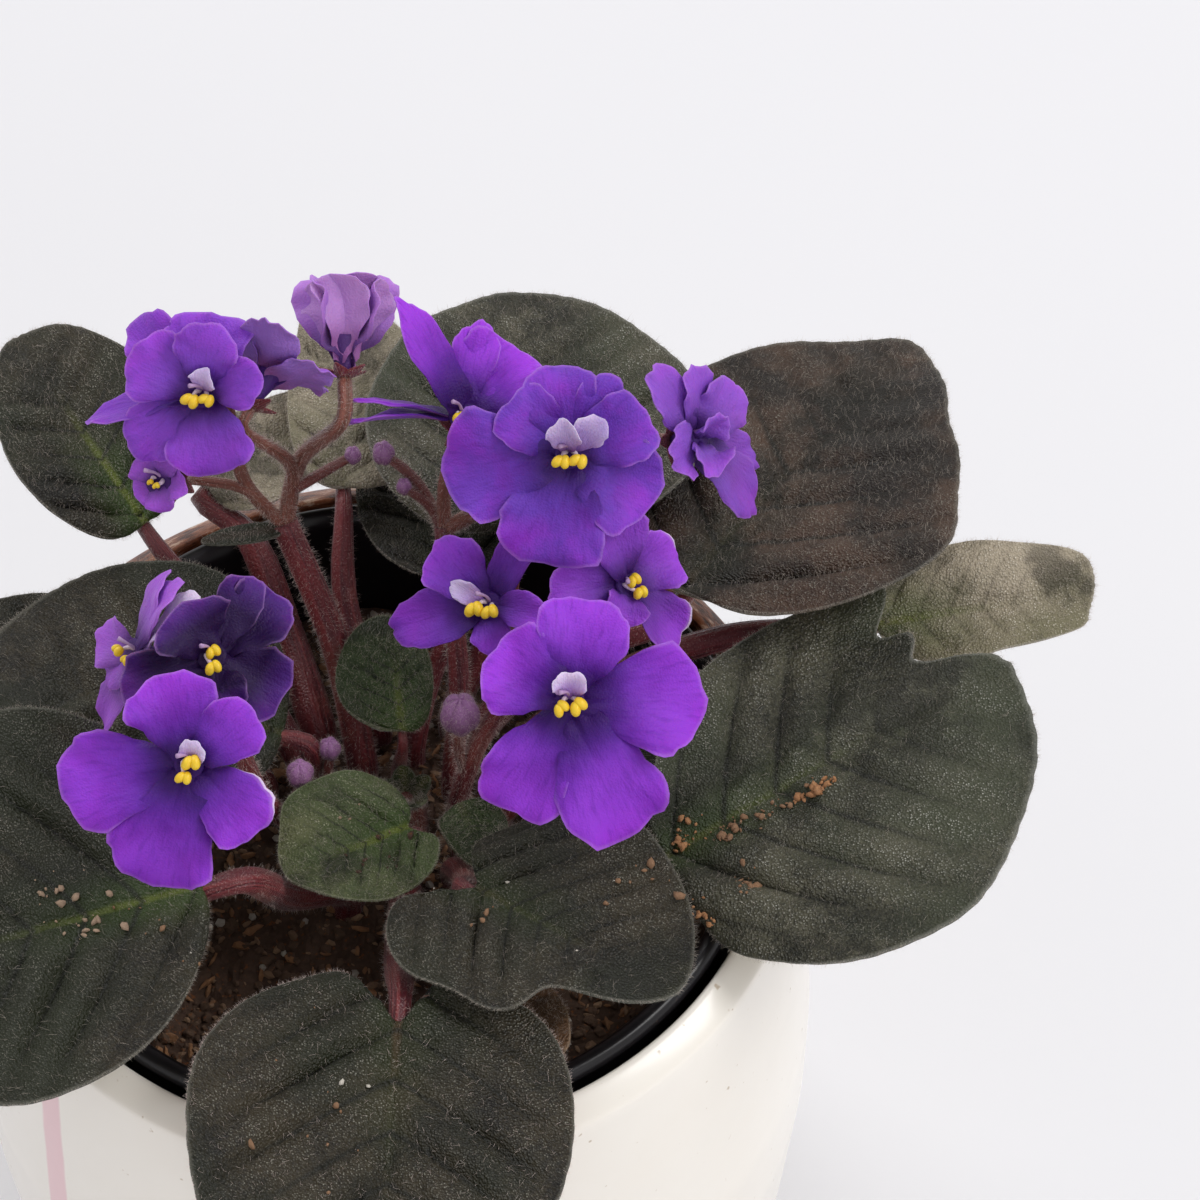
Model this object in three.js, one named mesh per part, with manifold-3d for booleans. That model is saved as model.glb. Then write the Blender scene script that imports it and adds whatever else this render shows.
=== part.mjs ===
import * as THREE from 'three';
import { mergeVertices } from 'three/addons/utils/BufferGeometryUtils.js';
import Module from 'manifold-3d';

// A potted african violet: a glazed cover pot, a black nursery pot standing in it, the soil and the plant.
// Millimetres, +Z up. The origin is the middle of the cover pot's foot, on the surface that it stands on.
// Seen from the front, +X is to the right and +Y goes away.

// Driving dimensions
const GAP = 0.3; // between pieces that rest on each other
const COVER_RADIUS = 69; // cover pot, at the edge where its sloping band starts
const COVER_HEIGHT = 130; // height of that edge
const COVER_FLOOR = 13; // thickness of its base
const COVER_SIDES = 32;
const OPENING_RADIUS = 63.4; // opening inside the band
const LIP_RADIUS = 62.2; // nursery pot, over its rounded lip: a common 12 cm pot with its lip
const LIP_TOP = 134;
const NURSERY_FOOT_RADIUS = 45;
const NURSERY_COLLAR_RADIUS = 57.5; // where the tapered wall meets the collar
const NURSERY_COLLAR_HEIGHT = 118;
const NURSERY_WALL = 1.2;
const NURSERY_SIDES = 28;
const DRAIN_RADIUS = 4; // drainage holes in the nursery pot's floor
const DRAIN_CIRCLE = 30; // radius of the circle that they stand on
const SOIL_TOP = 112;
const ROOT_DEPTH = 8; // how far petioles and stalks reach into the soil
const SOCKET_CLEARANCE = 0.84; // between a stem and the corners of its six-sided hole in the soil
const BLADE_THICKNESS = 1.3; // a leaf in its middle
const LEAF_ARCH = 0.08; // how far a leaf's tip bends down, as a part of its length
const MIDRIB_DEPTH = 0.9; // how deep the midrib lies in a leaf's upper face
const CLEFT = 0.3; // half the angle, in radians, of the cleft between a leaf's two lobes
const JOINT_MARGIN = 1.5; // blade behind the petiole's joint, at the bottom of the cleft
const LEAF_TAPER = 0.15; // how much wider a leaf is towards its base, as a part of its width
const RIM_WAVES = 9; // shallow scallops round a leaf's rim
const RIM_WAVE_DEPTH = 0.012; // their depth, as a part of the distance from the joint
const PETAL_THICKNESS = 0.9;
const PETALOID_THICKNESS = 0.8; // the small petals in the middle of a half-double bloom
const PETAL_LAYERS = [0.5, 0.9, -0.3, 0.1, -0.1]; // the two upper petals stand in front of the others
const PETAL_MIDDLE = 0.55; // where a petal is widest, as a part of its length
const PETAL_HOLLOW = 0.12; // rise of its edges, as a part of its width
const PETAL_RUFFLE = 0.05; // waves of its edge, as a part of its width
const PETAL_REFLEX = 0.14; // how far its end bends back, as a part of its length
const COROLLA_TUBE = 5; // from the middle of the petals back to the calyx
const CALYX_BACK = 6; // from there back to where the pedicel ends in the calyx
const CROWN = [4, 6]; // where the crown stands in the soil
const CROWN_RADIUS = 4.4;

const wasm = await Module();
wasm.setup();

const rad = THREE.MathUtils.degToRad;

function solid(geometry) {
  geometry.deleteAttribute('normal');
  geometry.deleteAttribute('uv');
  const merged = mergeVertices(geometry, 1e-4);
  return new wasm.Manifold(new wasm.Mesh({
    numProp: 3,
    vertProperties: new Float32Array(merged.attributes.position.array),
    triVerts: new Uint32Array(merged.index.array),
  }));
}

function geometryOf(body) {
  const mesh = body.getMesh();
  const geometry = new THREE.BufferGeometry();
  geometry.setAttribute('position', new THREE.BufferAttribute(mesh.vertProperties, 3));
  geometry.setIndex(new THREE.BufferAttribute(mesh.triVerts, 1));
  return geometry;
}

function fused(geometries) {
  return geometries.map(solid).reduce((body, next) => body.add(next));
}

function piece(name, geometry, colour, roughness) {
  const material = new THREE.MeshStandardMaterial({ color: colour, roughness, metalness: 0 });
  const mesh = new THREE.Mesh(geometry, material);
  mesh.name = name;
  return mesh;
}

// A leaf or petal: a disc of spokes and rings laid out by place(rho, turn), with a thickness along its
// normals. Both faces are split into the same triangles, so they run side by side wherever the blade waves.
// edge thins the rim, and keel thickens the back along the first spoke.
function blade({ spokes, rings, thickness, edge = 0.6, keel = 0, place }) {
  const points = [place(0, 0)];
  for (let ring = 1; ring <= rings; ring += 1) {
    for (let spoke = 0; spoke < spokes; spoke += 1) {
      points.push(place(ring / rings, (2 * Math.PI * spoke) / spokes));
    }
  }
  const faces = [];
  for (let spoke = 0; spoke < spokes; spoke += 1) {
    const next = (spoke + 1) % spokes;
    faces.push([0, 1 + spoke, 1 + next]);
    for (let ring = 1; ring < rings; ring += 1) {
      const inner = 1 + (ring - 1) * spokes;
      const outer = inner + spokes;
      faces.push([inner + spoke, outer + spoke, outer + next]);
      faces.push([inner + spoke, outer + next, inner + next]);
    }
  }
  const sheet = new THREE.BufferGeometry().setFromPoints(points).setIndex(faces.flat());
  sheet.computeVertexNormals();
  const count = points.length;
  const rim = 1 + (rings - 1) * spokes;
  const skin = [1, -1].flatMap((side) => points.map((point, i) => {
    const onMidrib = side < 0 && i < rim && (i - 1) % spokes <= 0;
    const half = 0.5 * thickness * (i >= rim ? edge : 1) + (onMidrib ? keel : 0);
    const normal = new THREE.Vector3().fromBufferAttribute(sheet.attributes.normal, i);
    return normal.multiplyScalar(side * half).add(point);
  }));
  const closed = faces.flatMap(([a, b, c]) => [a, b, c, count + a, count + c, count + b]);
  for (let spoke = 0; spoke < spokes; spoke += 1) {
    const a = rim + spoke;
    const b = rim + ((spoke + 1) % spokes);
    closed.push(a, count + a, count + b, a, count + b, b);
  }
  return new THREE.BufferGeometry().setFromPoints(skin).setIndex(closed);
}

// A stem: a closed cylinder bent along a smooth curve through the points, with a radius at each end.
function stem(points, startRadius, endRadius, sides, steps) {
  const path = new THREE.CatmullRomCurve3(points.map((p) => new THREE.Vector3(...p)), false, 'centripetal');
  const frames = path.computeFrenetFrames(steps, false);
  const tube = new THREE.CylinderGeometry(1, 1, 1, sides, steps);
  const position = tube.attributes.position;
  for (let i = 0; i < position.count; i += 1) {
    const step = Math.round((position.getY(i) + 0.5) * steps);
    const radius = THREE.MathUtils.lerp(startRadius, endRadius, step / steps);
    const point = path.getPointAt(step / steps);
    point.addScaledVector(frames.normals[step], radius * position.getX(i));
    point.addScaledVector(frames.binormals[step], -radius * position.getZ(i));
    position.setXYZ(i, point.x, point.y, point.z);
  }
  return tube;
}

// Cover pot
function coverPot() {
  const profile = [
    [0, 0], [60, 0], [65, 3], [67.6, 12], [70, 36], [72, 60], [72.2, 78], [70.8, 104],
    [COVER_RADIUS, COVER_HEIGHT - 0.8], [COVER_RADIUS - 0.7, COVER_HEIGHT],
    [OPENING_RADIUS + 0.9, COVER_HEIGHT + 2.4], [OPENING_RADIUS, COVER_HEIGHT + 1.4], [65.4, 100], [65.4, 60],
    [61, 24], [52, COVER_FLOOR], [0, COVER_FLOOR],
  ];
  const pot = new THREE.LatheGeometry(profile.map(([r, z]) => new THREE.Vector2(r, z)), COVER_SIDES);
  pot.rotateX(Math.PI / 2);
  return piece('cover_pot', geometryOf(solid(pot)), 0xf2ebdf, 0.18);
}

// Nursery pot: a tapered wall, a collar, a rounded lip and round drainage holes in its floor
const NURSERY_FLOOR = COVER_FLOOR + GAP;

function nurseryRadius(z) {
  const rise = (z - NURSERY_FLOOR) / (NURSERY_COLLAR_HEIGHT - NURSERY_FLOOR);
  return THREE.MathUtils.lerp(NURSERY_FOOT_RADIUS, NURSERY_COLLAR_RADIUS, rise);
}

function nurseryPot() {
  const wall = NURSERY_WALL;
  const collar = NURSERY_COLLAR_RADIUS + 1.6;
  const profile = [
    [0, NURSERY_FLOOR], [NURSERY_FOOT_RADIUS, NURSERY_FLOOR], [NURSERY_COLLAR_RADIUS, NURSERY_COLLAR_HEIGHT],
    [collar, NURSERY_COLLAR_HEIGHT + 1], [collar + 0.6, LIP_TOP - 4.4], [LIP_RADIUS, LIP_TOP - 3],
    [LIP_RADIUS - 0.3, LIP_TOP - 0.9], [LIP_RADIUS - 1.6, LIP_TOP], [collar - wall + 0.4, LIP_TOP - 1.6],
    [NURSERY_COLLAR_RADIUS - wall, NURSERY_COLLAR_HEIGHT], [NURSERY_FOOT_RADIUS - wall, NURSERY_FLOOR + wall],
    [0, NURSERY_FLOOR + wall],
  ];
  const pot = new THREE.LatheGeometry(profile.map(([r, z]) => new THREE.Vector2(r, z)), NURSERY_SIDES);
  pot.rotateX(Math.PI / 2);
  let body = solid(pot);
  const holes = 6;
  for (let i = 0; i < holes; i += 1) {
    const turn = (2 * Math.PI * (i + 0.5)) / holes;
    const hole = new THREE.CylinderGeometry(DRAIN_RADIUS, DRAIN_RADIUS, 6, 8).rotateX(Math.PI / 2);
    hole.translate(DRAIN_CIRCLE * Math.cos(turn), DRAIN_CIRCLE * Math.sin(turn), NURSERY_FLOOR);
    body = body.subtract(solid(hole));
  }
  return piece('nursery_pot', geometryOf(body), 0x141416, 0.3);
}

// What stands in the soil: a hole is made for each, a little wider than the stem
const sockets = [];

function rooted([x, y], radius) {
  const wide = radius + SOCKET_CLEARANCE;
  const height = 40; // far enough up to come out through the mound
  const hole = new THREE.CylinderGeometry(wide, wide, height, 6).rotateX(Math.PI / 2);
  hole.translate(x, y, SOIL_TOP - ROOT_DEPTH - GAP + height / 2);
  sockets.push(hole);
  return [[x, y, SOIL_TOP - ROOT_DEPTH], [x, y, SOIL_TOP], [x, y, SOIL_TOP + 7]];
}

// Soil: a tapered plug with a lumpy top that rises towards the crown
function soilHeight(x, y) {
  const mound = 4 * Math.exp(-((x - CROWN[0]) ** 2 + (y - CROWN[1]) ** 2) / 700);
  const lumps = 0.9 * Math.sin(0.31 * x + 0.5 * Math.sin(0.23 * y)) * Math.cos(0.27 * y + 1.1)
    + 0.6 * Math.sin(0.71 * x - 0.33 * y);
  return SOIL_TOP + mound + lumps;
}

function soil() {
  const spokes = 24;
  const rings = 4;
  const bottom = NURSERY_FLOOR + NURSERY_WALL + GAP;
  const clear = NURSERY_WALL + GAP + 0.2;
  const topRadius = nurseryRadius(SOIL_TOP) - clear;
  const points = [new THREE.Vector3(0, 0, soilHeight(0, 0))];
  for (let ring = 1; ring <= rings + 1; ring += 1) {
    for (let spoke = 0; spoke < spokes; spoke += 1) {
      const turn = (2 * Math.PI * spoke) / spokes;
      const radius = ring > rings ? nurseryRadius(bottom) - clear : (topRadius * ring) / rings;
      const x = radius * Math.cos(turn);
      const y = radius * Math.sin(turn);
      const edge = ring === rings ? SOIL_TOP : soilHeight(x, y);
      points.push(new THREE.Vector3(x, y, ring > rings ? bottom : edge));
    }
  }
  points.push(new THREE.Vector3(0, 0, bottom));
  const faces = [];
  for (let spoke = 0; spoke < spokes; spoke += 1) {
    const next = (spoke + 1) % spokes;
    faces.push(0, 1 + spoke, 1 + next);
    for (let ring = 1; ring <= rings; ring += 1) {
      const inner = 1 + (ring - 1) * spokes;
      const outer = inner + spokes;
      faces.push(inner + spoke, outer + spoke, outer + next, inner + spoke, outer + next, inner + next);
    }
    const last = 1 + rings * spokes;
    faces.push(points.length - 1, last + next, last + spoke);
  }
  const plug = new THREE.BufferGeometry().setFromPoints(points).setIndex(faces);
  const body = sockets.reduce((rest, hole) => rest.subtract(solid(hole)), solid(plug));
  return piece('soil', geometryOf(body), 0x2a1c14, 0.95);
}

// Leaf blades. The blade lies in the leaf's own frame: x along the midrib from where the petiole joins, y to
// the left and z up. Its outline is an oval that bulges back beside the petiole in two lobes. Dents and
// bulges that only one leaf has are given as [turn in degrees, how far out in mm, half width in degrees].
function leafOutline({ length, left, right, lobe, cleft = CLEFT, bulges = [] }, turn) {
  const fromBack = Math.PI - Math.abs(turn > Math.PI ? turn - 2 * Math.PI : turn);
  const half = (length + lobe) / 2;
  const notch = (lobe - JOINT_MARGIN) * Math.exp(-((fromBack / cleft) ** 2));
  const width = turn <= Math.PI ? left : right;
  const x = (length - lobe) / 2 + half * Math.cos(turn) + notch;
  const y = width * Math.sin(turn) * (1 - LEAF_TAPER * Math.cos(turn));
  const degrees = THREE.MathUtils.radToDeg(turn);
  const bulge = ([at, far, wide]) => far * Math.exp(-(((degrees - at) / wide) ** 2));
  const out = bulges.reduce((sum, each) => sum + bulge(each), 0);
  const stretch = 1 + RIM_WAVE_DEPTH * Math.sin(RIM_WAVES * turn) + out / Math.max(4, Math.hypot(x, y));
  return [x * stretch, y * stretch];
}

function leafHeight({ length, left, right, cup = 0.1, wave = 1, phase = 0 }, x, y, rho, turn) {
  const along = x / length;
  const across = y / (y > 0 ? left : right);
  const bend = -LEAF_ARCH * length * along * along;
  const sides = cup * Math.abs(y) * Math.abs(across);
  const midrib = -MIDRIB_DEPTH * Math.exp(-((y / 4) ** 2)) * Math.max(0, 1 - Math.abs(along - 0.4));
  return bend + sides + midrib + wave * rho ** 3 * Math.sin(3 * turn + phase);
}

function leafBlade(form, spokes, rings) {
  return blade({
    spokes,
    rings,
    thickness: BLADE_THICKNESS,
    keel: form.keel ?? 1,
    place: (rho, turn) => {
      const [edgeX, edgeY] = leafOutline(form, turn);
      const x = rho * edgeX;
      const y = rho * edgeY;
      return new THREE.Vector3(x, y, leafHeight(form, x, y, rho, turn));
    },
  });
}

// A leaf with its petiole, which rises from the soil, joins the blade and runs on under it as the midrib
function leaf(name, form) {
  const { at, heading, tilt = 0, roll = 0, length, root, via = [], petiole = 2.6, colour = 0x3a4038 } = form;
  const frame = new THREE.Object3D();
  frame.position.set(...at);
  frame.rotation.set(rad(roll), rad(-tilt), rad(heading), 'ZYX');
  frame.updateMatrixWorld();
  const inFrame = (p) => frame.worldToLocal(new THREE.Vector3(...p)).toArray();
  const under = (x) => [x, 0, leafHeight(form, x, 0, 0, 0) - 0.5 * BLADE_THICKNESS - 0.2];
  const path = [...[...rooted(root, petiole), ...via].map(inFrame), [-0.12 * length, 0, -2], under(0.5)];
  const parts = [
    leafBlade(form, form.spokes ?? 16, form.rings ?? 2),
    stem([...path, under(0.12 * length)], petiole, 0.45 * petiole, 5, 6),
  ];
  const mesh = piece(name, geometryOf(fused(parts)), colour, 0.75);
  mesh.position.copy(frame.position);
  mesh.rotation.copy(frame.rotation);
  return mesh;
}

const leaves = [
  leaf('leaf_back_left', {
    at: [-37, 49, 150], heading: 120, tilt: 15, length: 40, left: 14, right: 17, lobe: 4, root: [-12, 14],
    via: [[-24, 33, 136]], phase: 1, bulges: [[320, 2, 25], [215, -5, 30]],
  }),
  leaf('leaf_back_small', {
    at: [-25, 61, 143], heading: 36, tilt: 5, length: 26, left: 9, right: 12, lobe: 3, root: [-10, 24],
    via: [[-14, 40, 125], [-20, 53, 138]], petiole: 3.4,
  }),
  leaf('leaf_back', {
    at: [-3, 56, 147.5], heading: 88, tilt: 7, length: 38, left: 9, right: 16, lobe: 3, root: [0, 26],
    via: [[-4, 41, 134]], bulges: [[38, 4, 18]],
  }),
  leaf('leaf_back_centre', {
    at: [25, 42, 152], heading: 84, tilt: 8, length: 46, left: 25, right: 32, lobe: 5, root: [13, 26],
    via: [[22, 33, 138]], rings: 3, wave: 1.4, phase: 2, bulges: [[50, 2, 25]],
  }),
  leaf('leaf_back_inner', {
    at: [15, 39, 141], heading: 103, tilt: 2, length: 36, left: 12, right: 14, lobe: 1, root: [6, 20],
    via: [[10, 28, 129]], petiole: 2.2, bulges: [[35, 3, 20]],
  }),
  leaf('leaf_back_right', {
    at: [52, 26, 151], heading: 48, tilt: 6, roll: -8, length: 62, left: 26, right: 30, lobe: 3,
    root: [15, 19], via: [[32, 24, 137]], petiole: 3, spokes: 18, rings: 3, wave: 1.3, phase: 4,
    bulges: [[2, 3.5, 16], [362, 3.5, 16], [262, 5, 18], [318, -2, 14]], colour: 0x3b342c,
  }),
  leaf('leaf_right_curled', {
    at: [85, 20, 145], heading: 1, tilt: 8, roll: 30, length: 35, left: 11, right: 9, lobe: 1,
    root: [19, 12], via: [[36, 21, 130], [60, 23, 140]], petiole: 2.8,
    bulges: [[35, 2.5, 20], [282, -2.5, 16], [318, 2, 12]], colour: 0x4a5040,
  }),
  leaf('leaf_right_front', {
    at: [46, -18, 138], heading: 22, tilt: 18, length: 63, left: 29, right: 38, lobe: 3, root: [18, -3],
    via: [[31, -13, 127]], petiole: 3, spokes: 24, rings: 3, wave: 1.5, phase: 1,
    bulges: [
      [130, -11, 26], [92, -3, 16], [57, 5, 10], [42, -8, 8], [20, -11, 12], [200, 4, 15], [275, 2, 15],
    ],
  }),
  leaf('leaf_front_centre', {
    at: [15, -26, 143], heading: -42, tilt: 12, roll: -5, length: 38, left: 23, right: 24, lobe: 11,
    root: [11, -6], via: [[13, -17, 131]], petiole: 2.4, spokes: 20, rings: 3, wave: 1.5, phase: 3,
    cleft: 0.22, bulges: [[316, -9, 22], [268, -5, 22], [135, -2, 25]],
  }),
  leaf('leaf_front', {
    at: [0, -50, 142], heading: -97, tilt: -5, length: 56, left: 28, right: 31, lobe: 14, root: [3, -10],
    via: [[1, -29, 128]], petiole: 3, spokes: 20, rings: 3, wave: 1.2, phase: 0.5,
    cleft: 0.2, bulges: [[148, -3.5, 22], [208, -2.5, 18]],
  }),
  leaf('leaf_front_left', {
    at: [-30, -24, 147], heading: 191, tilt: -2, roll: -6, length: 58, left: 30, right: 38, lobe: 3,
    root: [-7, -8], via: [[-16, -15, 129]], petiole: 3.2, rings: 3, wave: 1.6, phase: 1.6,
    bulges: [[145, -8, 30], [75, 2, 15], [240, -3, 20]],
  }),
  leaf('leaf_left', {
    at: [-17, 9, 142], heading: 165, tilt: 9, length: 52, left: 26, right: 26, lobe: 2, root: [-14, 7],
    petiole: 2.4, rings: 3, wave: 1.2, phase: 0.8, bulges: [[335, -2, 20]],
  }),
  leaf('leaf_far_left', {
    at: [-40, 24, 137], heading: 170, tilt: 3, length: 40, left: 15, right: 15, lobe: 4, root: [-20, 15],
    via: [[-30, 22, 127]],
  }),
  leaf('leaf_right_inner', {
    at: [32, 7, 131], heading: 5, tilt: 8, length: 24, left: 11, right: 12, lobe: 3, root: [20, 4],
    petiole: 2,
  }),
  leaf('leaf_young_front', {
    at: [3, -9, 137], heading: 203, tilt: 8, length: 21, left: 12, right: 13, lobe: 5, root: [4, -3],
    petiole: 1.6, cleft: 0.2, bulges: [[298, 2, 18], [192, -2, 14]], colour: 0x46543a,
  }),
  leaf('leaf_young_back', {
    at: [4, 13, 136], heading: 92, tilt: 9, length: 21, left: 10, right: 6, lobe: 2, root: [3, 14],
    petiole: 1.5, colour: 0x3e4a38,
  }),
  leaf('leaf_young_right', {
    at: [13, -1, 130], heading: -75, tilt: 10, length: 12, left: 6, right: 5, lobe: 1, root: [12, -1],
    petiole: 1.2, spokes: 12, colour: 0x33402e,
  }),
  leaf('leaf_withered', {
    at: [12, -35, 131], heading: -50, tilt: 14, length: 22, left: 7, right: 7, lobe: 1, root: [13, -14],
    via: [[12, -26, 124]], petiole: 1.4, cup: 0.3, wave: 1.2, spokes: 12, colour: 0x5a4632,
  }),
];

// Blooms. In a bloom's own frame the petals open round z, which points where the bloom faces, with x to the
// right. Each petal has its angle round the bloom, its length and width, its lift out of the bloom's plane,
// the twist about its own length that shows some of them from their edge, and its flare: how much wider it is
// towards its end, less than nothing for a pointed one.
function petal(shape, { thickness, spokes, rings, reflex }) {
  const [turnAngle, length, width, lift = 8, twist = 0, flare = 0.4] = shape;
  const sheet = blade({
    spokes,
    rings,
    thickness,
    edge: 0.75,
    place: (rho, turn) => {
      const reach = Math.cos(turn) > 0 ? 1 - PETAL_MIDDLE : PETAL_MIDDLE;
      const x = length * (PETAL_MIDDLE + rho * reach * Math.cos(turn));
      const y = 0.5 * width * rho * Math.sin(turn) * (1 + flare * Math.cos(turn));
      const hollow = PETAL_HOLLOW * width * (2 * y / width) ** 2;
      const ruffle = PETAL_RUFFLE * width * rho ** 2 * Math.sin(4 * turn + turnAngle);
      return new THREE.Vector3(x, y, hollow + ruffle - reflex * length * (x / length) ** 2);
    },
  });
  return sheet.rotateX(rad(twist)).rotateY(rad(-lift)).rotateZ(rad(turnAngle));
}

function bloomFrame({ at, face: [azimuth, elevation] }) {
  const frame = new THREE.Group();
  frame.position.set(...at);
  frame.rotation.set(rad(90 - elevation), 0, rad(azimuth + 90), 'ZXY');
  frame.updateMatrixWorld();
  return frame;
}

function bloom(name, form) {
  const group = bloomFrame(form);
  const tube = stem([[0, 0, -COROLLA_TUBE], [0, 0, 1]], 0.9, 2.4, 7, 1);
  const rings = form.rings ?? 1;
  const reflex = form.reflex ?? PETAL_REFLEX;
  const large = { thickness: PETAL_THICKNESS, spokes: 6 + rings, rings, reflex };
  const small = { thickness: PETALOID_THICKNESS, spokes: 7, rings: 1, reflex };
  const sunk = form.sunk ?? 0;
  const petals = form.petals.map((shape, i) => petal(shape, large).translate(0, 0, PETAL_LAYERS[i] - sunk));
  const extras = (form.petaloids ?? []).map((shape) => petal(shape, small));
  group.add(piece(name, geometryOf(fused([tube, ...petals, ...extras])), form.colour ?? 0x6a35b0, 0.5));
  if (form.anthers !== 0) {
    const size = form.anthers ?? 1.3;
    const lobes = [-1, 1].map((side) => {
      const lobe = new THREE.IcosahedronGeometry(size, 0).scale(1, 1.25, 0.85);
      return lobe.rotateZ(rad(20 * side)).translate(0.8 * size * side, -0.8 * size, 1 + GAP + 0.95 * size);
    });
    group.add(piece(`${name}_anthers`, geometryOf(fused(lobes)), 0xf0cf2a, 0.45));
  }
  return group;
}

const bloomForms = {
  bloom_left_back: {
    at: [-24, 41, 190], face: [-110, 45],
    petals: [
      [160, 13, 11, 15], [88, 12, 10, 25], [200, 22, 7, -8, 55, 0.1], [228, 16, 11, 0, 0, 0],
      [288, 13, 13, 5],
    ],
    petaloids: [[28, 12, 8, 30], [80, 6, 4, 50], [148, 17, 9, -5], [97, 13, 13, -5]],
  },
  bloom_left_back_turned: {
    at: [-14, 45, 188], face: [60, 15], anthers: 0.9,
    petals: [
      [20, 10, 9, 25], [92, 13, 10, 25, 0, 0], [164, 12, 9, 25, 0, 0], [236, 12, 10, 30, 0, 0],
      [308, 9, 9, 30],
    ],
  },
  bloom_top_pale: {
    at: [-1, 48, 192], face: [85, 28], colour: 0xb087d2, reflex: -0.05, sunk: 3.5, anthers: 0,
    petals: [[55, 14, 11, 64], [125, 14, 11, 64], [200, 15, 13, 64], [275, 16, 14, 66], [342, 15, 13, 66]],
  },
  bloom_back_centre: {
    at: [17, 36, 186], face: [-80, 75], anthers: 0.9,
    petals: [
      [36, 16, 16, 5], [106, 21, 8, 28, 20, -0.1], [150, 19, 6, 0, 55, 0], [158, 20, 6, -8, 55, 0],
      [345, 10, 10],
    ],
    petaloids: [[66, 17, 7, 10]],
  },
  bloom_centre_big: {
    at: [33, 22, 192], face: [-95, 52], colour: 0x5a3fb5, rings: 2,
    petals: [[187, 20, 16, 0], [257, 18, 16, 0], [330, 15, 14, 5], [25, 14, 11, 15], [100, 14, 11, 10]],
    petaloids: [[60, 8, 5, 45], [100, 7, 5, 65], [140, 13, 10, 14], [60, 14, 7, 12]],
  },
  bloom_right_back: {
    at: [54, 33, 180], face: [-40, 35], colour: 0x7c55c4, anthers: 0,
    petals: [
      [98, 16, 8, 15], [22, 11, 10, 25], [310, 19, 8, -5, 0, 0], [286, 21, 9, 0, 0, 0.1],
      [160, 9, 9, 35],
    ],
    petaloids: [[66, 13, 7, 25], [230, 7, 8, 50], [40, 7, 6, 60]],
  },
  bloom_centre: {
    at: [19, 10, 170], face: [-120, 55],
    petals: [
      [150, 13, 11, 15], [212, 17, 12, -5, 0, 0.1], [80, 15, 7, 15, 0, -0.1], [12, 10, 7, 25],
      [300, 8, 8, 5],
    ],
    petaloids: [[170, 6, 3.5, 30]],
  },
  bloom_right: {
    at: [41, 11, 172], face: [-50, 45], colour: 0x7a48bd, anthers: 1.1,
    petals: [[155, 14, 12, 5], [85, 14, 10, 20], [0, 11, 10, 10], [285, 15, 9, 0], [215, 7, 8, 20]],
  },
  bloom_front_big: {
    at: [30, -14, 176], face: [-94, 54], colour: 0x6a2ec4, rings: 2,
    petals: [[78, 16, 15, 10], [150, 14, 15, 8], [0, 21, 17, 0], [240, 21, 14, -5], [293, 24, 17, -5]],
    petaloids: [[90, 6, 5, 50]],
  },
  bloom_left_big: {
    at: [-29, -21, 176], face: [-100, 52], colour: 0x6a2ec4, rings: 2,
    petals: [[110, 14, 14, 10], [42, 13, 10, 15], [195, 21, 15, 0], [255, 21, 16, -5], [320, 15, 12, 5]],
    petaloids: [[70, 5, 4, 50]],
  },
  bloom_left_dark: {
    at: [-25, -1, 176], face: [-85, 65], colour: 0x3f1f86,
    petals: [[195, 15, 9, 0], [120, 9, 12, 25], [35, 15, 10, 0], [322, 13, 11, 0], [265, 9, 10, 10]],
    petaloids: [[55, 14, 7, 15]],
  },
  bloom_left_pale: {
    at: [-37, 6, 169], face: [195, 35], colour: 0xa277cf, anthers: 1.1,
    petals: [[118, 14, 7, 5, -20], [101, 15, 7, 5, -15], [216, 10, 8, 20], [275, 17, 7, 0], [250, 9, 8, 10]],
    petaloids: [[84, 17, 6, 5, -20]],
  },
  bud_opening: {
    at: [-32, 35, 176], face: [-130, 45], colour: 0x9a5fa8, anthers: 0.6,
    petals: [[90, 5, 5, 22], [162, 5, 5, 22], [234, 5, 5, 20], [306, 5, 5, 20], [18, 5, 5, 22]],
  },
};
const blooms = Object.entries(bloomForms).map(([name, form]) => bloom(name, form));

// Flower stalks. Each one rises from the soil, forks, and ends in a calyx behind each bloom that it carries.
function behind(bloomName, distance) {
  return bloomFrame(bloomForms[bloomName]).localToWorld(new THREE.Vector3(0, 0, -distance)).toArray();
}

// A calyx: a cup with five points
function calyx(bloomName) {
  const star = blade({
    spokes: 10,
    rings: 1,
    thickness: 0.7,
    edge: 0.9,
    place: (rho, turn) => {
      const reach = rho * (3.1 + 1.6 * Math.cos(5 * turn));
      return new THREE.Vector3(reach * Math.cos(turn), reach * Math.sin(turn), 0.5 * reach - CALYX_BACK);
    },
  });
  return star.applyMatrix4(bloomFrame(bloomForms[bloomName]).matrixWorld);
}

function flowerStalk(name, { root, radius, path, branches, buds = [], bracts = [] }) {
  const main = [...rooted(root, radius), ...path];
  const parts = [stem(main, radius, 0.8 * radius, 6, 5)];
  for (const { from, bloomName, width = 1 } of branches) {
    const pedicel = [...from, behind(bloomName, COROLLA_TUBE + 7), behind(bloomName, CALYX_BACK)];
    parts.push(stem(pedicel, 1.25 * width, width, 4, 3), calyx(bloomName));
  }
  for (const { from, at, size } of buds) {
    const bulb = new THREE.OctahedronGeometry(size, 1).scale(1, 1, 1.25).translate(...at);
    parts.push(stem([...from, at], 1, 0.9, 4, 2), bulb);
  }
  for (const { at, heading, tilt, length } of bracts) {
    const bract = leafBlade({ length, left: 2, right: 2, lobe: 0, wave: 0, keel: 0.4 }, 8, 1);
    parts.push(bract.rotateY(rad(-tilt)).rotateZ(rad(heading)).translate(...at));
  }
  return piece(name, geometryOf(fused(parts)), 0x8a4a4c, 0.6);
}

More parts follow.
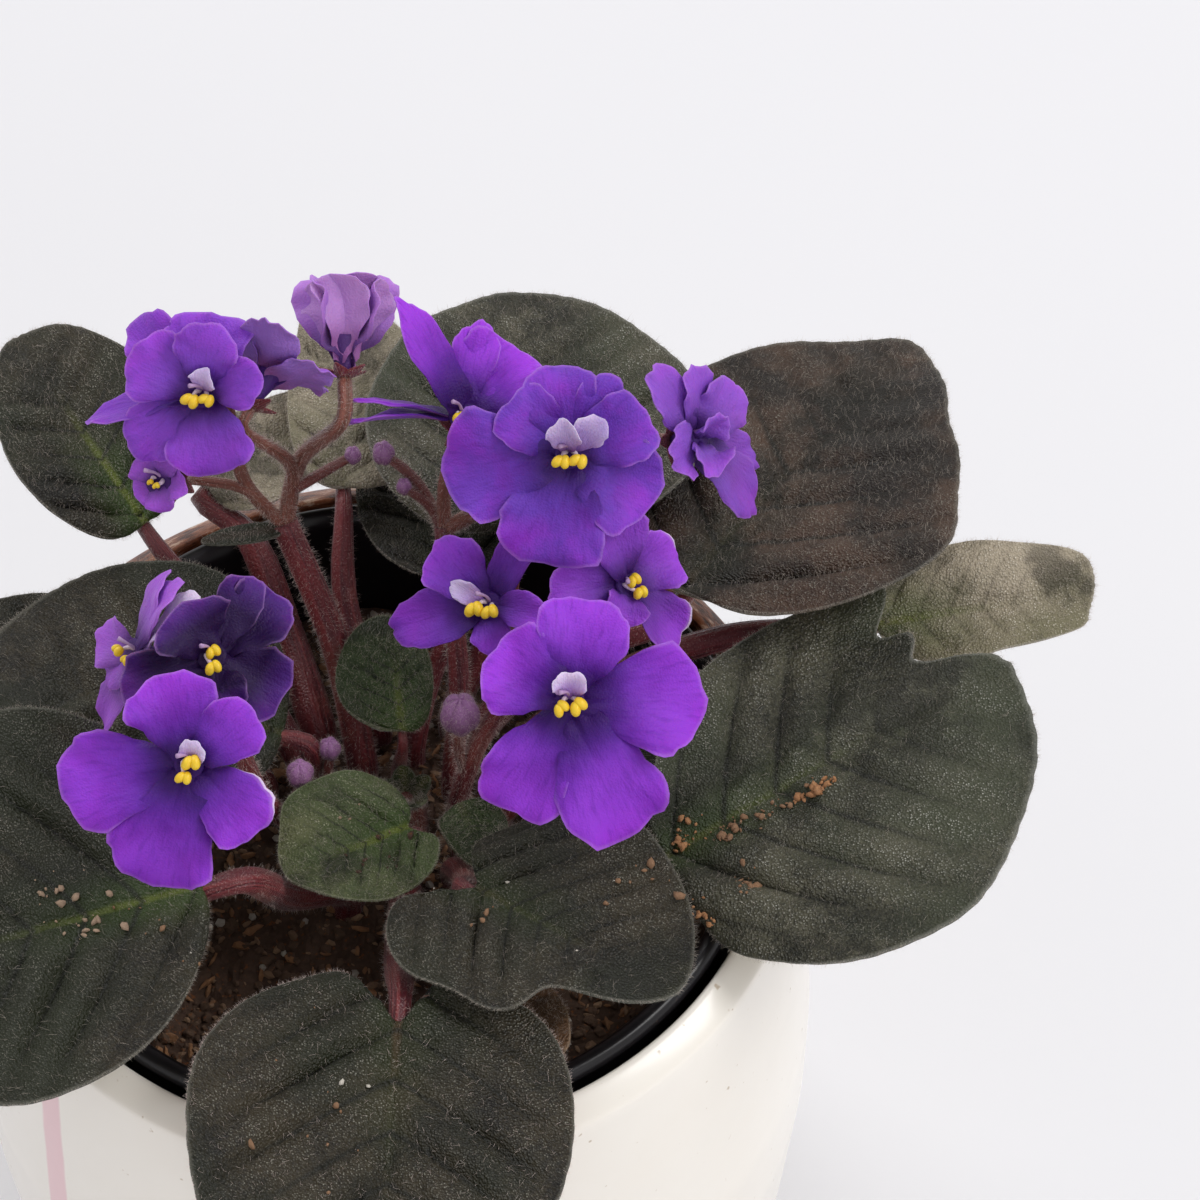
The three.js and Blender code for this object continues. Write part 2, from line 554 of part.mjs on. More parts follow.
const stalks = [
  flowerStalk('stalk_back_left', {
    root: [-3, 18], radius: 2.8, path: [[-6, 30, 135], [-13, 40, 157]],
    branches: [
      { from: [[-13, 40, 156], [-19, 42, 166]], bloomName: 'bloom_left_back' },
      { from: [[-13, 40, 156], [-11, 43, 167]], bloomName: 'bloom_left_back_turned' },
      { from: [[-13, 40, 156], [-10, 44, 167]], bloomName: 'bloom_top_pale', width: 1.2 },
      { from: [[-13, 40, 156], [-19, 41, 165]], bloomName: 'bud_opening', width: 0.8 },
    ],
    buds: [{ from: [[-11, 42, 163]], at: [-1, 45, 167], size: 1.4 }],
    bracts: [{ at: [-13, 39, 157], heading: 190, tilt: 8, length: 14 }],
  }),
  flowerStalk('stalk_centre', {
    root: [12, 12], radius: 2, path: [[14, 20, 138], [13, 33, 162]],
    branches: [
      { from: [[13, 33, 161], [14, 36, 172]], bloomName: 'bloom_back_centre' },
      { from: [[13, 33, 161], [24, 29, 174]], bloomName: 'bloom_centre_big' },
      { from: [[13, 33, 161], [30, 36, 170]], bloomName: 'bloom_right_back' },
    ],
    buds: [
      { from: [[13, 33, 161], [9, 38, 168]], at: [4, 41, 172], size: 1.8 },
      { from: [[13, 33, 161], [11, 35, 165]], at: [7, 37, 168], size: 1.3 },
    ],
  }),
  flowerStalk('stalk_right', {
    root: [12, 5], radius: 1.8, path: [[16, 5, 138], [22, 4, 155]],
    branches: [
      { from: [[22, 4, 154], [22, 7, 160]], bloomName: 'bloom_centre' },
      { from: [[22, 4, 154], [32, 8, 162]], bloomName: 'bloom_right' },
      { from: [[22, 4, 154], [27, -2, 164]], bloomName: 'bloom_front_big' },
    ],
    buds: [{ from: [[14, 5, 132], [13, 4, 140]], at: [13.5, 3.5, 150], size: 3.2 }],
  }),
  flowerStalk('stalk_left', {
    root: [-11, -1], radius: 1.8, path: [[-19, -4, 141], [-22, -6, 158]],
    branches: [
      { from: [[-22, -6, 157], [-26, -11, 166]], bloomName: 'bloom_left_big' },
      { from: [[-22, -6, 157], [-23, 0, 166]], bloomName: 'bloom_left_dark' },
      { from: [[-22, -6, 157], [-23, 4, 159]], bloomName: 'bloom_left_pale' },
    ],
    buds: [
      { from: [[-11, -1, 120], [-12, 1, 132]], at: [-13, 1, 140], size: 2.2 },
      { from: [[-11, -1, 120], [-9, 4, 131]], at: [-8, 7, 138], size: 1.8 },
    ],
  }),
];

// Crown: the short stem in the middle, with tiny leaves standing round its top
function crown() {
  const [x, y] = CROWN;
  const top = SOIL_TOP + 12;
  const parts = [stem([...rooted(CROWN, CROWN_RADIUS), [x, y, top]], CROWN_RADIUS, 0.7 * CROWN_RADIUS, 8, 2)];
  const tiny = 5;
  for (let i = 0; i < tiny; i += 1) {
    const form = { length: 6, left: 2.2, right: 2.2, lobe: 0, wave: 0, cup: 0.3, keel: 0.3 };
    const sprout = leafBlade(form, 7, 1).rotateY(rad(-50)).rotateZ((2 * Math.PI * (i + 0.3)) / tiny);
    parts.push(sprout.translate(x, y, top - 1));
  }
  return piece('crown', geometryOf(fused(parts)), 0x5b4a35, 0.8);
}

const group = new THREE.Group();
const plant = new THREE.Group();
plant.add(crown(), ...leaves, ...blooms, ...stalks);
group.add(coverPot(), nurseryPot(), soil(), plant);
export default group;
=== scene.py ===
# %% [markdown]
# A potted african violet, dressed for a close look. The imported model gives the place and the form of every
# leaf, bloom, stalk and pot. This script gives each of them the surface of the real plant: quilted leaf
# blades with down on them, thin ruffled petals, hairy stalks, crumbly soil and glazed and plastic pots.
# Everything is made from the same few formulas as the solids, only with finer steps, so nothing moves.

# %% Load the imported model
import math

import bpy
import numpy as np
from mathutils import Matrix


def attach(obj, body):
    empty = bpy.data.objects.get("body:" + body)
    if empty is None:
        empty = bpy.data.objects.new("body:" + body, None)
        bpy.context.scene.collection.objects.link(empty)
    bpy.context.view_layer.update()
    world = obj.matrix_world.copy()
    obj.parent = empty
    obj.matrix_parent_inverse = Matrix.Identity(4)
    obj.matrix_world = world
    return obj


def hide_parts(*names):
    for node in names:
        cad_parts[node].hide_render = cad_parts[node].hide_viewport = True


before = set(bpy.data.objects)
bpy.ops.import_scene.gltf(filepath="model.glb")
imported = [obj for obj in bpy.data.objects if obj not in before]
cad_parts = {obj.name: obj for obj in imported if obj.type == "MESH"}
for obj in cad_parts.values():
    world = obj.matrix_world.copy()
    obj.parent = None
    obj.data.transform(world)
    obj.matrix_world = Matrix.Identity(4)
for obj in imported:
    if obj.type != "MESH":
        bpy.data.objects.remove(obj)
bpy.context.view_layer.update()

# %% [markdown]
# The formulas below work in millimetres, and Blender in metres, so points are scaled once, when a mesh is
# made. Turning in three directions is all the placing that leaves and blooms need. Points are rows, and a
# matrix turns them with points @ matrix.T.

# %% Units and turns
MM = 0.001
ROUND = 2 * math.pi


def turn_x(degrees):
    c, s = math.cos(math.radians(degrees)), math.sin(math.radians(degrees))
    return np.array([[1, 0, 0], [0, c, -s], [0, s, c]])


def turn_y(degrees):
    c, s = math.cos(math.radians(degrees)), math.sin(math.radians(degrees))
    return np.array([[c, 0, s], [0, 1, 0], [-s, 0, c]])


def turn_z(degrees):
    c, s = math.cos(math.radians(degrees)), math.sin(math.radians(degrees))
    return np.array([[c, -s, 0], [s, c, 0], [0, 0, 1]])


def unit(vectors):
    return vectors / np.maximum(np.linalg.norm(vectors, axis=-1, keepdims=True), 1e-9)


print("x turned by 90 degrees about z points to", (turn_z(90) @ [1, 0, 0]).round(3))

# %% [markdown]
# A piece gathers points and faces from many small parts, such as a blade, its petiole and its hairs, and
# makes one mesh of them. Two values travel with each point for the materials: place says where the point
# lies on its leaf, petal or stem, and tone says how green, red, brown or pale that part of the plant is.
# Random draws are seeded from the piece's name, so every run grows the same plant.

# %% Gather a piece
made_pieces = []


class Piece:
    def __init__(self, name, tone=(0, 0, 0)):
        self.name = name
        self.tone = np.array(tone, float)
        self.random = np.random.default_rng(sum(map(ord, name)))
        self.points, self.places, self.tones = [], [], []
        self.faces, self.finishes, self.materials = [], [], []
        self.count = 0

    def add(self, points, faces, material, place=None, tone=None):
        if material not in self.materials:
            self.materials.append(material)
        for some in faces:
            self.faces.append(np.asarray(some, int) + self.count)
            self.finishes.append(np.full(len(some), self.materials.index(material)))
        self.points.append(points)
        self.places.append(np.zeros_like(points) if place is None else place)
        self.tones.append(np.broadcast_to(self.tone if tone is None else tone, points.shape))
        self.count += len(points)

    def made(self, slot, *nodes, smooth=True):
        mesh = bpy.data.meshes.new(self.name)
        points = np.concatenate(self.points) * MM
        sizes = np.concatenate([np.full(len(some), some.shape[1]) for some in self.faces])
        corners = np.concatenate([some.ravel() for some in self.faces])
        mesh.vertices.add(len(points))
        mesh.vertices.foreach_set("co", points.astype(np.float32).ravel())
        mesh.loops.add(len(corners))
        mesh.loops.foreach_set("vertex_index", corners.astype(np.int32))
        mesh.polygons.add(len(sizes))
        mesh.polygons.foreach_set("loop_start", np.append(0, np.cumsum(sizes)[:-1]).astype(np.int32))
        mesh.polygons.foreach_set("material_index", np.concatenate(self.finishes).astype(np.int32))
        mesh.polygons.foreach_set("use_smooth", np.full(len(sizes), smooth))
        for name, values in (("place", self.places), ("tone", self.tones)):
            kept = mesh.attributes.new(name, "FLOAT_VECTOR", "POINT")
            kept.data.foreach_set("vector", np.concatenate(values).astype(np.float32).ravel())
        mesh.update(calc_edges=True)
        for material in self.materials:
            mesh.materials.append(bpy.data.materials[material])
        piece = bpy.data.objects.new(self.name, mesh)
        bpy.context.scene.collection.objects.link(piece)
        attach(piece, "root")
        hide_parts(*nodes)
        made_pieces.append((self.name, int((sizes - 2).sum())))
        return piece


print("the soil's random draws start from seed", sum(map(ord, "potting_soil")))

# %% [markdown]
# Materials are trees of nodes, which these helpers write in short lines. node adds one node and links or
# sets its inputs, maths, times and times_plus work out values, and soft_mask turns a range of values into
# a soft step from 0 to 1. attribute reads the values that travel with the points. Noise is laid on object
# coordinates, so it stays fixed to the plant.

# %% Write values as nodes
def node(tree, kind, inputs=None, **settings):
    added = tree.nodes.new(kind)
    for key, value in settings.items():
        setattr(added, key, value)
    for key, value in (inputs or {}).items():
        if isinstance(value, bpy.types.NodeSocket):
            tree.links.new(value, added.inputs[key])
        else:
            added.inputs[key].default_value = value
    return added


def maths(tree, operation, a, b=0.0, c=0.0):
    return node(tree, "ShaderNodeMath", {0: a, 1: b, 2: c}, operation=operation).outputs[0]


def times(tree, a, b):
    return maths(tree, "MULTIPLY", a, b)


def times_plus(tree, a, b, c):
    return maths(tree, "MULTIPLY_ADD", a, b, c)


def soft_mask(tree, value, start, end):
    inputs = {"Value": value, "From Min": start, "From Max": end}
    return node(tree, "ShaderNodeMapRange", inputs, interpolation_type="SMOOTHSTEP").outputs["Result"]


def parted(tree, vector):
    return node(tree, "ShaderNodeSeparateXYZ", {0: vector}).outputs


def attribute(tree, name):
    return parted(tree, node(tree, "ShaderNodeAttribute", attribute_name=name).outputs["Vector"])


def on_object(tree):
    return node(tree, "ShaderNodeTexCoord").outputs["Object"]


def noise(tree, where, scale, detail, rough):
    inputs = {"Vector": where, "Scale": scale, "Detail": detail, "Roughness": rough}
    return node(tree, "ShaderNodeTexNoise", inputs).outputs[0]


print("value helpers:", [helper.__name__ for helper in (maths, soft_mask, attribute, noise)])

# %% [markdown]
# An effect that several materials share is a node group, built once and placed in each material with its
# own values. Grain is plain noise on object coordinates, and streaks are noise drawn out along a petal or
# a stem, whose first value is the way along it and whose second one is the way across it.

# %% Grain and streaks as node groups
def node_group(name, inputs, outputs, kind="NodeSocketFloat"):
    group = bpy.data.node_groups.new(name, "ShaderNodeTree")
    for label, value in inputs.items():
        socket = group.interface.new_socket(label, in_out="INPUT", socket_type="NodeSocketFloat")
        socket.default_value = value
    for label in outputs:
        group.interface.new_socket(label, in_out="OUTPUT", socket_type=kind)
    return group, group.nodes.new("NodeGroupInput").outputs, group.nodes.new("NodeGroupOutput").inputs


def placed(tree, group, *values):
    return node(tree, "ShaderNodeGroup", dict(enumerate(values)), node_tree=group).outputs


grains, given, result = node_group("grain", {"Scale": 100.0, "Detail": 3.0, "Roughness": 0.6}, ["Value"])
grains.links.new(noise(grains, on_object(grains), *list(given)[:3]), result["Value"])

streaks, given, result = node_group("streaks", {"Along": 0.0, "Across": 0.0, "Scale": 9.0, "Detail": 4.0,
                                                "Roughness": 0.55}, ["Value"])
where = node(streaks, "ShaderNodeCombineXYZ", {0: given["Along"], 1: given["Across"]}).outputs[0]
streaks.links.new(noise(streaks, where, *list(given)[2:5]), result["Value"])


def grain(tree, scale, detail=3.0, rough=0.6):
    return placed(tree, grains, scale, detail, rough)[0]


def streaked(tree, along, across, scale, detail, rough):
    return placed(tree, streaks, along, across, scale, detail, rough)[0]


print("shared effects:", [group.name for group in bpy.data.node_groups])

# %% [markdown]
# Each finish starts with a plain shader whose constants, such as roughness and sheen, are set on its own
# sockets. Colours are written as they look on a screen, from 0 to 255, and mixed turns them into light
# values and lays the second over the first by a mask. dress joins the colour and the bumps to the shader.

# %% Start a finish
def screen(red, green, blue):
    def light(value):
        value /= 255
        return value / 12.92 if value <= 0.04045 else ((value + 0.055) / 1.055) ** 2.4

    return (light(red), light(green), light(blue))


def mixed(tree, mask, a, b):
    inputs = {0: mask}
    for socket, colour in ((6, a), (7, b)):
        inputs[socket] = colour if isinstance(colour, bpy.types.NodeSocket) else (*screen(*colour), 1)
    return node(tree, "ShaderNodeMix", inputs, data_type="RGBA").outputs[2]


def finish(name, roughness, **constants):
    material = bpy.data.materials.new(name)
    material.use_nodes = True
    shader = material.node_tree.nodes["Principled BSDF"]
    shader.inputs["Roughness"].default_value = roughness
    for key, value in constants.items():
        shader.inputs[key.replace("_", " ").title().replace("Ior", "IOR")].default_value = value
    return material.node_tree, shader


def dress(tree, shader, colour, height=None, depth=0.0002, strength=0.6):
    tree.links.new(colour, shader.inputs["Base Color"])
    if height is not None:
        bump = node(tree, "ShaderNodeBump", {"Height": height, "Distance": depth, "Strength": strength})
        tree.links.new(bump.outputs[0], shader.inputs["Normal"])


print("a middle grey of 128 is", round(screen(128, 128, 128)[0], 3), "of white light")

# %% [markdown]
# Down: leaves, petioles and stalks all carry short white hairs. The longest ones are real mesh further
# down. Between them the down is so fine that it only greys the surface in small specks, which one node
# group makes for all three. It gives a mask for the colour and a height for the bumps at the hairs' feet.

# %% Fine down as a node group
down, given, result = node_group("fine_down", {"Per Metre": 2600.0, "Amount": 0.5}, ["Mask", "Height"])
cells = node(down, "ShaderNodeTexVoronoi", {"Vector": on_object(down), "Scale": given["Per Metre"]})
chance = parted(down, cells.outputs["Color"])[0]
patches = soft_mask(down, grain(down, 60.0, 5.0, 0.5), 0.38, 0.62)
share = times(down, times_plus(down, patches, 0.65, 0.35), given["Amount"])
brightness = times_plus(down, maths(down, "POWER", chance, 1.2), 0.52, 0.08)
speck = times(down, soft_mask(down, cells.outputs["Distance"], 0.46, 0.1), brightness)
down.links.new(maths(down, "MINIMUM", times(down, speck, share), 1.0), result["Mask"])
down.links.new(maths(down, "SUBTRACT", 1.0, cells.outputs["Distance"]), result["Height"])


def with_down(tree, per_metre, amount):
    return placed(tree, down, per_metre, amount)


print("node group:", down.name, "with", len(down.nodes), "nodes")

# %% [markdown]
# Side veins cross a leaf at even steps, as dark lines on its face, painted shade in their furrows, and as
# light ones on its underside. The ground of the face is mottled and mossy, with dark patches beside the
# midrib, partly real damp stains and partly painted shade in its fold, and brown where it is old.
# Both are groups that put out masks, and each kind of leaf lays its own colours by them.

# %% Veins and ground of a leaf as node groups
veins, given, result = node_group("side_veins", {"Phase": 0.0, "Width": 0.12}, ["Mask"])
gap = soft_mask(veins, maths(veins, "PINGPONG", given["Phase"], 0.5), 0.0, given["Width"])
veins.links.new(maths(veins, "SUBTRACT", 1.0, gap), result["Mask"])

ground, given, result = node_group("leaf_ground", {"Off": 0.0, "Stain Start": 0.49, "Stain End": 0.6},
                                   ["Mottle", "Moss", "Damp And Fold Shade", "Age"])
broad = grain(ground, 60, 5, 0.65)
mottled = times_plus(ground, grain(ground, 1300, 3, 0.8), 0.6, broad)
stained = soft_mask(ground, grain(ground, 75, 4, 0.6), given["Stain Start"], given["Stain End"])
ground.links.new(soft_mask(ground, mottled, 0.6, 1.0), result["Mottle"])
ground.links.new(soft_mask(ground, grain(ground, 26, 3), 0.4, 0.65), result["Moss"])
# dark patches beside the midrib: partly real damp stains, partly painted shade in the midrib's fold
ground.links.new(times(ground, soft_mask(ground, given["Off"], 18.0, 3.0), stained), result["Damp And Fold Shade"])
ground.links.new(soft_mask(ground, broad, 0.36, 0.66), result["Age"])
print("leaf groups:", veins.name, "and", ground.name)

# %% [markdown]
# The upper face of a leaf is a dark olive felt, mottled from nearly black to grey-green, with a darker
# line along each side vein, painted shade in its furrow, and a green glow beside the midrib, and on the
# oldest leaf brown. Dark patches beside the midrib are partly real damp stains and partly painted shade in
# its fold. place holds the side veins' phase, the distance from the midrib in millimetres and the way out to
# the rim. tone holds how green, red and brown the leaf is. The down is laid thicker on the crest between
# veins, a painted highlight on the puffs.

# %% The upper face of a leaf
def leaf_finish(name, dark, light, moss, silver, nap, furrow_shading=0.75, stains=(0.49, 0.6)):
    tree, shader = finish(name, 0.4, sheen_weight=0.04, sheen_roughness=0.3, specular_ior_level=0.34)
    phase, off, rim = attribute(tree, "place")
    green, red, brown = attribute(tree, "tone")
    mottle, mossy, damp_and_fold_shade, age = placed(tree, ground, off, *stains)
    vein = times(tree, placed(tree, veins, phase, 0.12)[0], soft_mask(tree, rim, 0.95, 0.5))
    midrib = times(tree, soft_mask(tree, off, 1.3, 0.3), soft_mask(tree, phase, 4.5, 0.8))
    glow = times(tree, soft_mask(tree, off, 8.0, 0.0), soft_mask(tree, phase, 3.6, 0.2))
    colour = mixed(tree, mottle, dark, light)
    colour = mixed(tree, mossy, colour, moss)
    aged = mixed(tree, age, (30, 21, 17), (84, 62, 50))
    colour = mixed(tree, brown, colour, aged)
    # partly painted shade: darker patches beside the midrib, where the leaf folds
    colour = mixed(tree, times(tree, damp_and_fold_shade, 0.6), colour, (22, 22, 14))
    colour = mixed(tree, times(tree, glow, times(tree, green, 0.85)), colour, (60, 82, 32))
    redness = times(tree, red, soft_mask(tree, phase, 1.4, 0.0))
    rib = mixed(tree, green, mixed(tree, redness, (30, 32, 20), (96, 36, 40)), (112, 124, 46))
    colour = mixed(tree, times(tree, midrib, times_plus(tree, green, 0.45, 0.25)), colour, rib)
    # painted shade: a dark line along each side vein, where its furrow lies in shade
    colour = mixed(tree, times(tree, vein, furrow_shading), colour, (14, 16, 8))
    fuzz = with_down(tree, 2500.0, nap)
    between = maths(tree, "FRACT", phase)
    # painted highlight: the down is laid thicker on the crest between side veins, so the puffs look lit
    painted_crest_highlight = times(tree, soft_mask(tree, between, 0.05, 0.4), soft_mask(tree, between, 0.95, 0.5))
    down_and_crest_highlight = times(tree, fuzz["Mask"], times_plus(tree, damp_and_fold_shade, -0.75, 1.0))
    down_and_crest_highlight = times(tree, down_and_crest_highlight, times_plus(tree, painted_crest_highlight, 1.1, 0.4))
    down_and_crest_highlight = maths(tree, "MAXIMUM", down_and_crest_highlight, times(tree, soft_mask(tree, rim, 0.98, 1.0), 0.2))
    dress(tree, shader, mixed(tree, down_and_crest_highlight, colour, silver), fuzz["Height"], 0.00035, 0.9)


print("materials before the leaf faces:", len(bpy.data.materials))

# %% [markdown]
# Six kinds of upper face: most leaves; a lighter copy with painted light for those that catch the light;
# young green ones inside, very downy ones at the back and the right, the youngest one in front, and the
# withered one. Each has a dark and a light ground, a mossy patch colour, the colour of its down and how
# thick that lies.

# %% Kinds of leaf face
leaf_finish("leaf_face", (13, 11, 6), (54, 47, 32), (31, 35, 18), (168, 166, 154), 0.88)
# painted light: a lighter copy of the leaf face, for the leaves that catch the light
leaf_finish("leaf_face_painted_lit", (26, 27, 18), (86, 84, 68), (58, 63, 45), (192, 192, 182), 1.05, 0.75,
            (0.43, 0.53))
leaf_finish("leaf_green", (20, 26, 12), (66, 70, 42), (44, 60, 26), (186, 184, 158), 1.0)
leaf_finish("leaf_downy", (102, 95, 78), (176, 164, 144), (122, 117, 92), (236, 228, 214), 1.1, 0.25)
leaf_finish("leaf_young", (52, 56, 34), (120, 122, 84), (78, 92, 54), (208, 208, 178), 1.05)
leaf_finish("leaf_dry", (132, 96, 70), (206, 168, 132), (160, 124, 94), (228, 206, 176), 0.9, 0.4)
print("leaf faces:", sorted(m.name for m in bpy.data.materials if m.name.startswith("leaf_")))

# %% [markdown]
# The underside of a leaf is paler than its face, with raised light veins, and reddish on some leaves.

# %% The underside of a leaf
tree, shader = finish("leaf_back", 0.65, sheen_weight=0.3, sheen_roughness=0.4)
phase = attribute(tree, "place")[0]
red = attribute(tree, "tone")[1]
vein = placed(tree, veins, phase, 0.1)[0]
colour = mixed(tree, grain(tree, 70, 4), (92, 98, 68), (132, 132, 100))
colour = mixed(tree, times(tree, vein, 0.6), colour, (156, 148, 118))
colour = mixed(tree, times(tree, red, 0.8), colour, (122, 66, 62))
fuzz = with_down(tree, 2200.0, 0.7)
dress(tree, shader, mixed(tree, fuzz["Mask"], colour, (186, 182, 168)), fuzz["Height"], 0.0003, 0.6)
print("underside of leaves:", len(tree.nodes), "nodes")

# %% [markdown]
# Petioles and flower stalks are juicy and wine red, streaked along their length, with paler salmon patches
# at random, a painted glow of light falling through them. The streaks run with place, whose first value goes
# along the stem and second round it. A hair has one plain colour, from grey-olive on leaves to a pinkish
# white on stems.

# %% Stems and hairs
tree, shader = finish("stem_skin", 0.34, sheen_weight=0.15, sheen_roughness=0.4, subsurface_weight=0.1,
                      subsurface_scale=0.002)
along, around, _ = attribute(tree, "place")
green, _, brown = attribute(tree, "tone")
stripes = streaked(tree, times(tree, along, 0.3), around, 4.5, 3.0, 0.5)
# painted light: salmon patches stand for light falling through the stem
painted_glow = soft_mask(tree, grain(tree, 90, 3), 0.5, 0.7)
colour = mixed(tree, soft_mask(tree, stripes, 0.3, 0.7), (78, 22, 34), (132, 50, 54))
colour = mixed(tree, times(tree, painted_glow, 0.35), colour, (176, 104, 88))
colour = mixed(tree, brown, colour, mixed(tree, stripes, (62, 20, 28), (112, 44, 46)))
colour = mixed(tree, green, colour, mixed(tree, stripes, (130, 100, 62), (190, 150, 116)))
fuzz = with_down(tree, 2400.0, 0.45)
ridges = times_plus(tree, stripes, 4.0, fuzz["Height"])
dress(tree, shader, mixed(tree, fuzz["Mask"], colour, (222, 186, 176)), ridges, 0.0002, 0.7)

tree, shader = finish("hair", 0.5)
colour = mixed(tree, grain(tree, 300), (116, 112, 98), (200, 194, 178))
dress(tree, shader, mixed(tree, attribute(tree, "tone")[1], colour, (240, 220, 212)))
print("stems and hairs are ready")

# %% [markdown]
# Petals are violet, turning magenta towards the rim in some blooms and blue in others, with fine darker
# streaks that fan out from the throat and a thin pale rim. Towards the throat they darken, painted shade in
# the bloom's funnel, and a dark bloom's own deeper violet is laid on most strongly there. Their skin is made
# of tiny domed cells, which
# sparkle, so the bump is fine and the roughness middling. place holds the way along the petal and across
# it, and tone holds how blue, pale and dark the bloom is. Backs and small inner petals are a pale lilac.

# %% Petal faces
petal_skin, given, result = node_group("petal_skin", {"Along": 0.0, "Across": 0.0}, ["Lines", "Height"])
fanned = streaked(petal_skin, times(petal_skin, given["Along"], 0.6), given["Across"], 9.0, 4.0, 0.55)
domes = node(petal_skin, "ShaderNodeTexVoronoi", {"Vector": on_object(petal_skin), "Scale": 2800.0})
domed = maths(petal_skin, "ADD", domes.outputs["Distance"], times(petal_skin, fanned, 2.5))
petal_skin.links.new(fanned, result["Lines"])
petal_skin.links.new(domed, result["Height"])


def petal_finish(name, deep, light, streak, rim_colour, blue_colour, pale_colour, throat):
    tree, shader = finish(name, 0.5, sheen_weight=0.04, sheen_roughness=0.3, subsurface_weight=0.08,
                          subsurface_scale=0.002, specular_ior_level=0.22)
    along, across, rim = attribute(tree, "place")
    blue, pale, dark = attribute(tree, "tone")
    lines, height = placed(tree, petal_skin, along, across)
    clouds = grain(tree, 110, 4)
    colour = mixed(tree, soft_mask(tree, times_plus(tree, clouds, 0.7, along), 0.5, 1.3), deep, light)
    colour = mixed(tree, times(tree, blue, soft_mask(tree, clouds, 0.3, 0.6)), colour, blue_colour)
    colour = mixed(tree, times(tree, soft_mask(tree, lines, 0.48, 0.68), 0.26), colour, streak)
    colour = mixed(tree, pale, colour, pale_colour)
    # painted shade: petals, backs and petaloids darken towards the throat, where the bloom's funnel lies in
    # shade
    colour = mixed(tree, times(tree, soft_mask(tree, along, 0.48, 0.12), 0.85), colour, throat)
    shade = times(tree, dark, times_plus(tree, along, -0.9, 1.7))
    colour = mixed(tree, maths(tree, "MINIMUM", shade, 1.0), colour, (38, 12, 66))
    edge = times(tree, soft_mask(tree, rim, 0.92, 1.0), soft_mask(tree, along, 0.4, 0.7))
    colour = mixed(tree, times(tree, edge, 0.24), colour, rim_colour)
    colour = mixed(tree, soft_mask(tree, rim, 1.01, 1.06), colour, (226, 204, 236))
    dress(tree, shader, colour, height, 0.00018, 0.5)


petal_finish("petal_face", (78, 14, 140), (162, 58, 224), (74, 13, 136), (210, 160, 236), (94, 58, 184),
             (180, 128, 208), (44, 9, 84))
petal_finish("petal_back", (132, 72, 188), (168, 108, 214), (112, 56, 172), (214, 180, 236), (116, 86, 204),
             (190, 142, 204), (150, 90, 150))
petal_finish("petaloid", (158, 112, 204), (228, 208, 242), (150, 104, 196), (246, 236, 250),
             (178, 150, 224), (230, 214, 240), (132, 84, 168))
print("petal faces:", sorted(m.name for m in bpy.data.materials if m.name.startswith("petal")))

# %% [markdown]
# A leaf or petal is a disc of spokes and rings. A formula gives the place of each point, and half the
# thickness is added along the normal on one side and taken off on the other, so both faces run side by
# side. The rim is thinned and closed by one more band of faces.

# %% A blade from a formula
def disc(spokes, rings):
    rho = np.append(0.0, np.repeat(np.arange(1, rings + 1) / rings, spokes))
    turn = np.append(0.0, np.tile(np.arange(spokes) * ROUND / spokes, rings))
    spoke = np.arange(spokes)
    after = (spoke + 1) % spokes
    fan = np.stack([np.zeros(spokes, int), 1 + spoke, 1 + after], 1)
    inner = 1 + spokes * np.arange(rings - 1)[:, None]
    quads = np.stack([inner + spoke, inner + spokes + spoke, inner + spokes + after, inner + after], -1)
    return rho, turn, fan, quads.reshape(-1, 4)


def normals_of(points, fan, quads):
    total = np.zeros_like(points)
    for faces in (fan, quads):
        a, b, c = points[faces[:, 0]], points[faces[:, 1]], points[faces[:, -1]]
        across = points[faces[:, 2]] - a if faces.shape[1] == 4 else b - a
        cross = np.cross(across, c - b if faces.shape[1] == 4 else c - a)
        for column in range(faces.shape[1]):
            np.add.at(total, faces[:, column], cross)
    return unit(total)


def blade(piece, place, spokes, rings, thickness, face, back, marks, to_world, edge=0.8):
    rho, turn, fan, quads = disc(spokes, rings)
    middle = place(rho, turn)
    half = 0.5 * thickness * np.sqrt(1 - edge * rho ** 10)[:, None] * normals_of(middle, fan, quads)
    upper = to_world(middle + half)
    under = to_world(middle - half)
    values = marks(rho, turn, middle)
    piece.add(upper, [fan, quads], face, values)
    piece.add(under, [fan[:, ::-1], quads[:, ::-1]], back, values)
    first = 1 + (rings - 1) * spokes
    rim = np.arange(first, first + spokes)
    after = np.roll(rim, -1)
    band = np.stack([rim, rim + len(middle), after + len(middle), after], 1)
    piece.add(np.concatenate([upper, under]), [band], face, np.concatenate([values, values]))
    return upper, under, normals_of(upper, fan, quads), quads, rim


print("a petal of 40 spokes and 12 rings has", 2 * len(disc(40, 12)[0]), "points")

# %% [markdown]
# Hairs are real mesh, because the finished model drops hair curves. Each one is a closed spike with three
# sides, and a long one bends in its middle. They are scattered evenly over the faces of a blade or stem,
# lean a little, and stand thickest along a leaf's rim, where they catch the light.

# %% Hairs
STRAIGHT_SPIKE = [[0, 2, 1], [0, 1, 3], [1, 2, 3], [2, 0, 3]]
BENT_SPIKE = [[0, 2, 1], [0, 1, 4], [0, 4, 3], [1, 2, 5], [1, 5, 4], [2, 0, 3], [2, 3, 5], [3, 4, 6],
              [4, 5, 6], [5, 3, 6]]


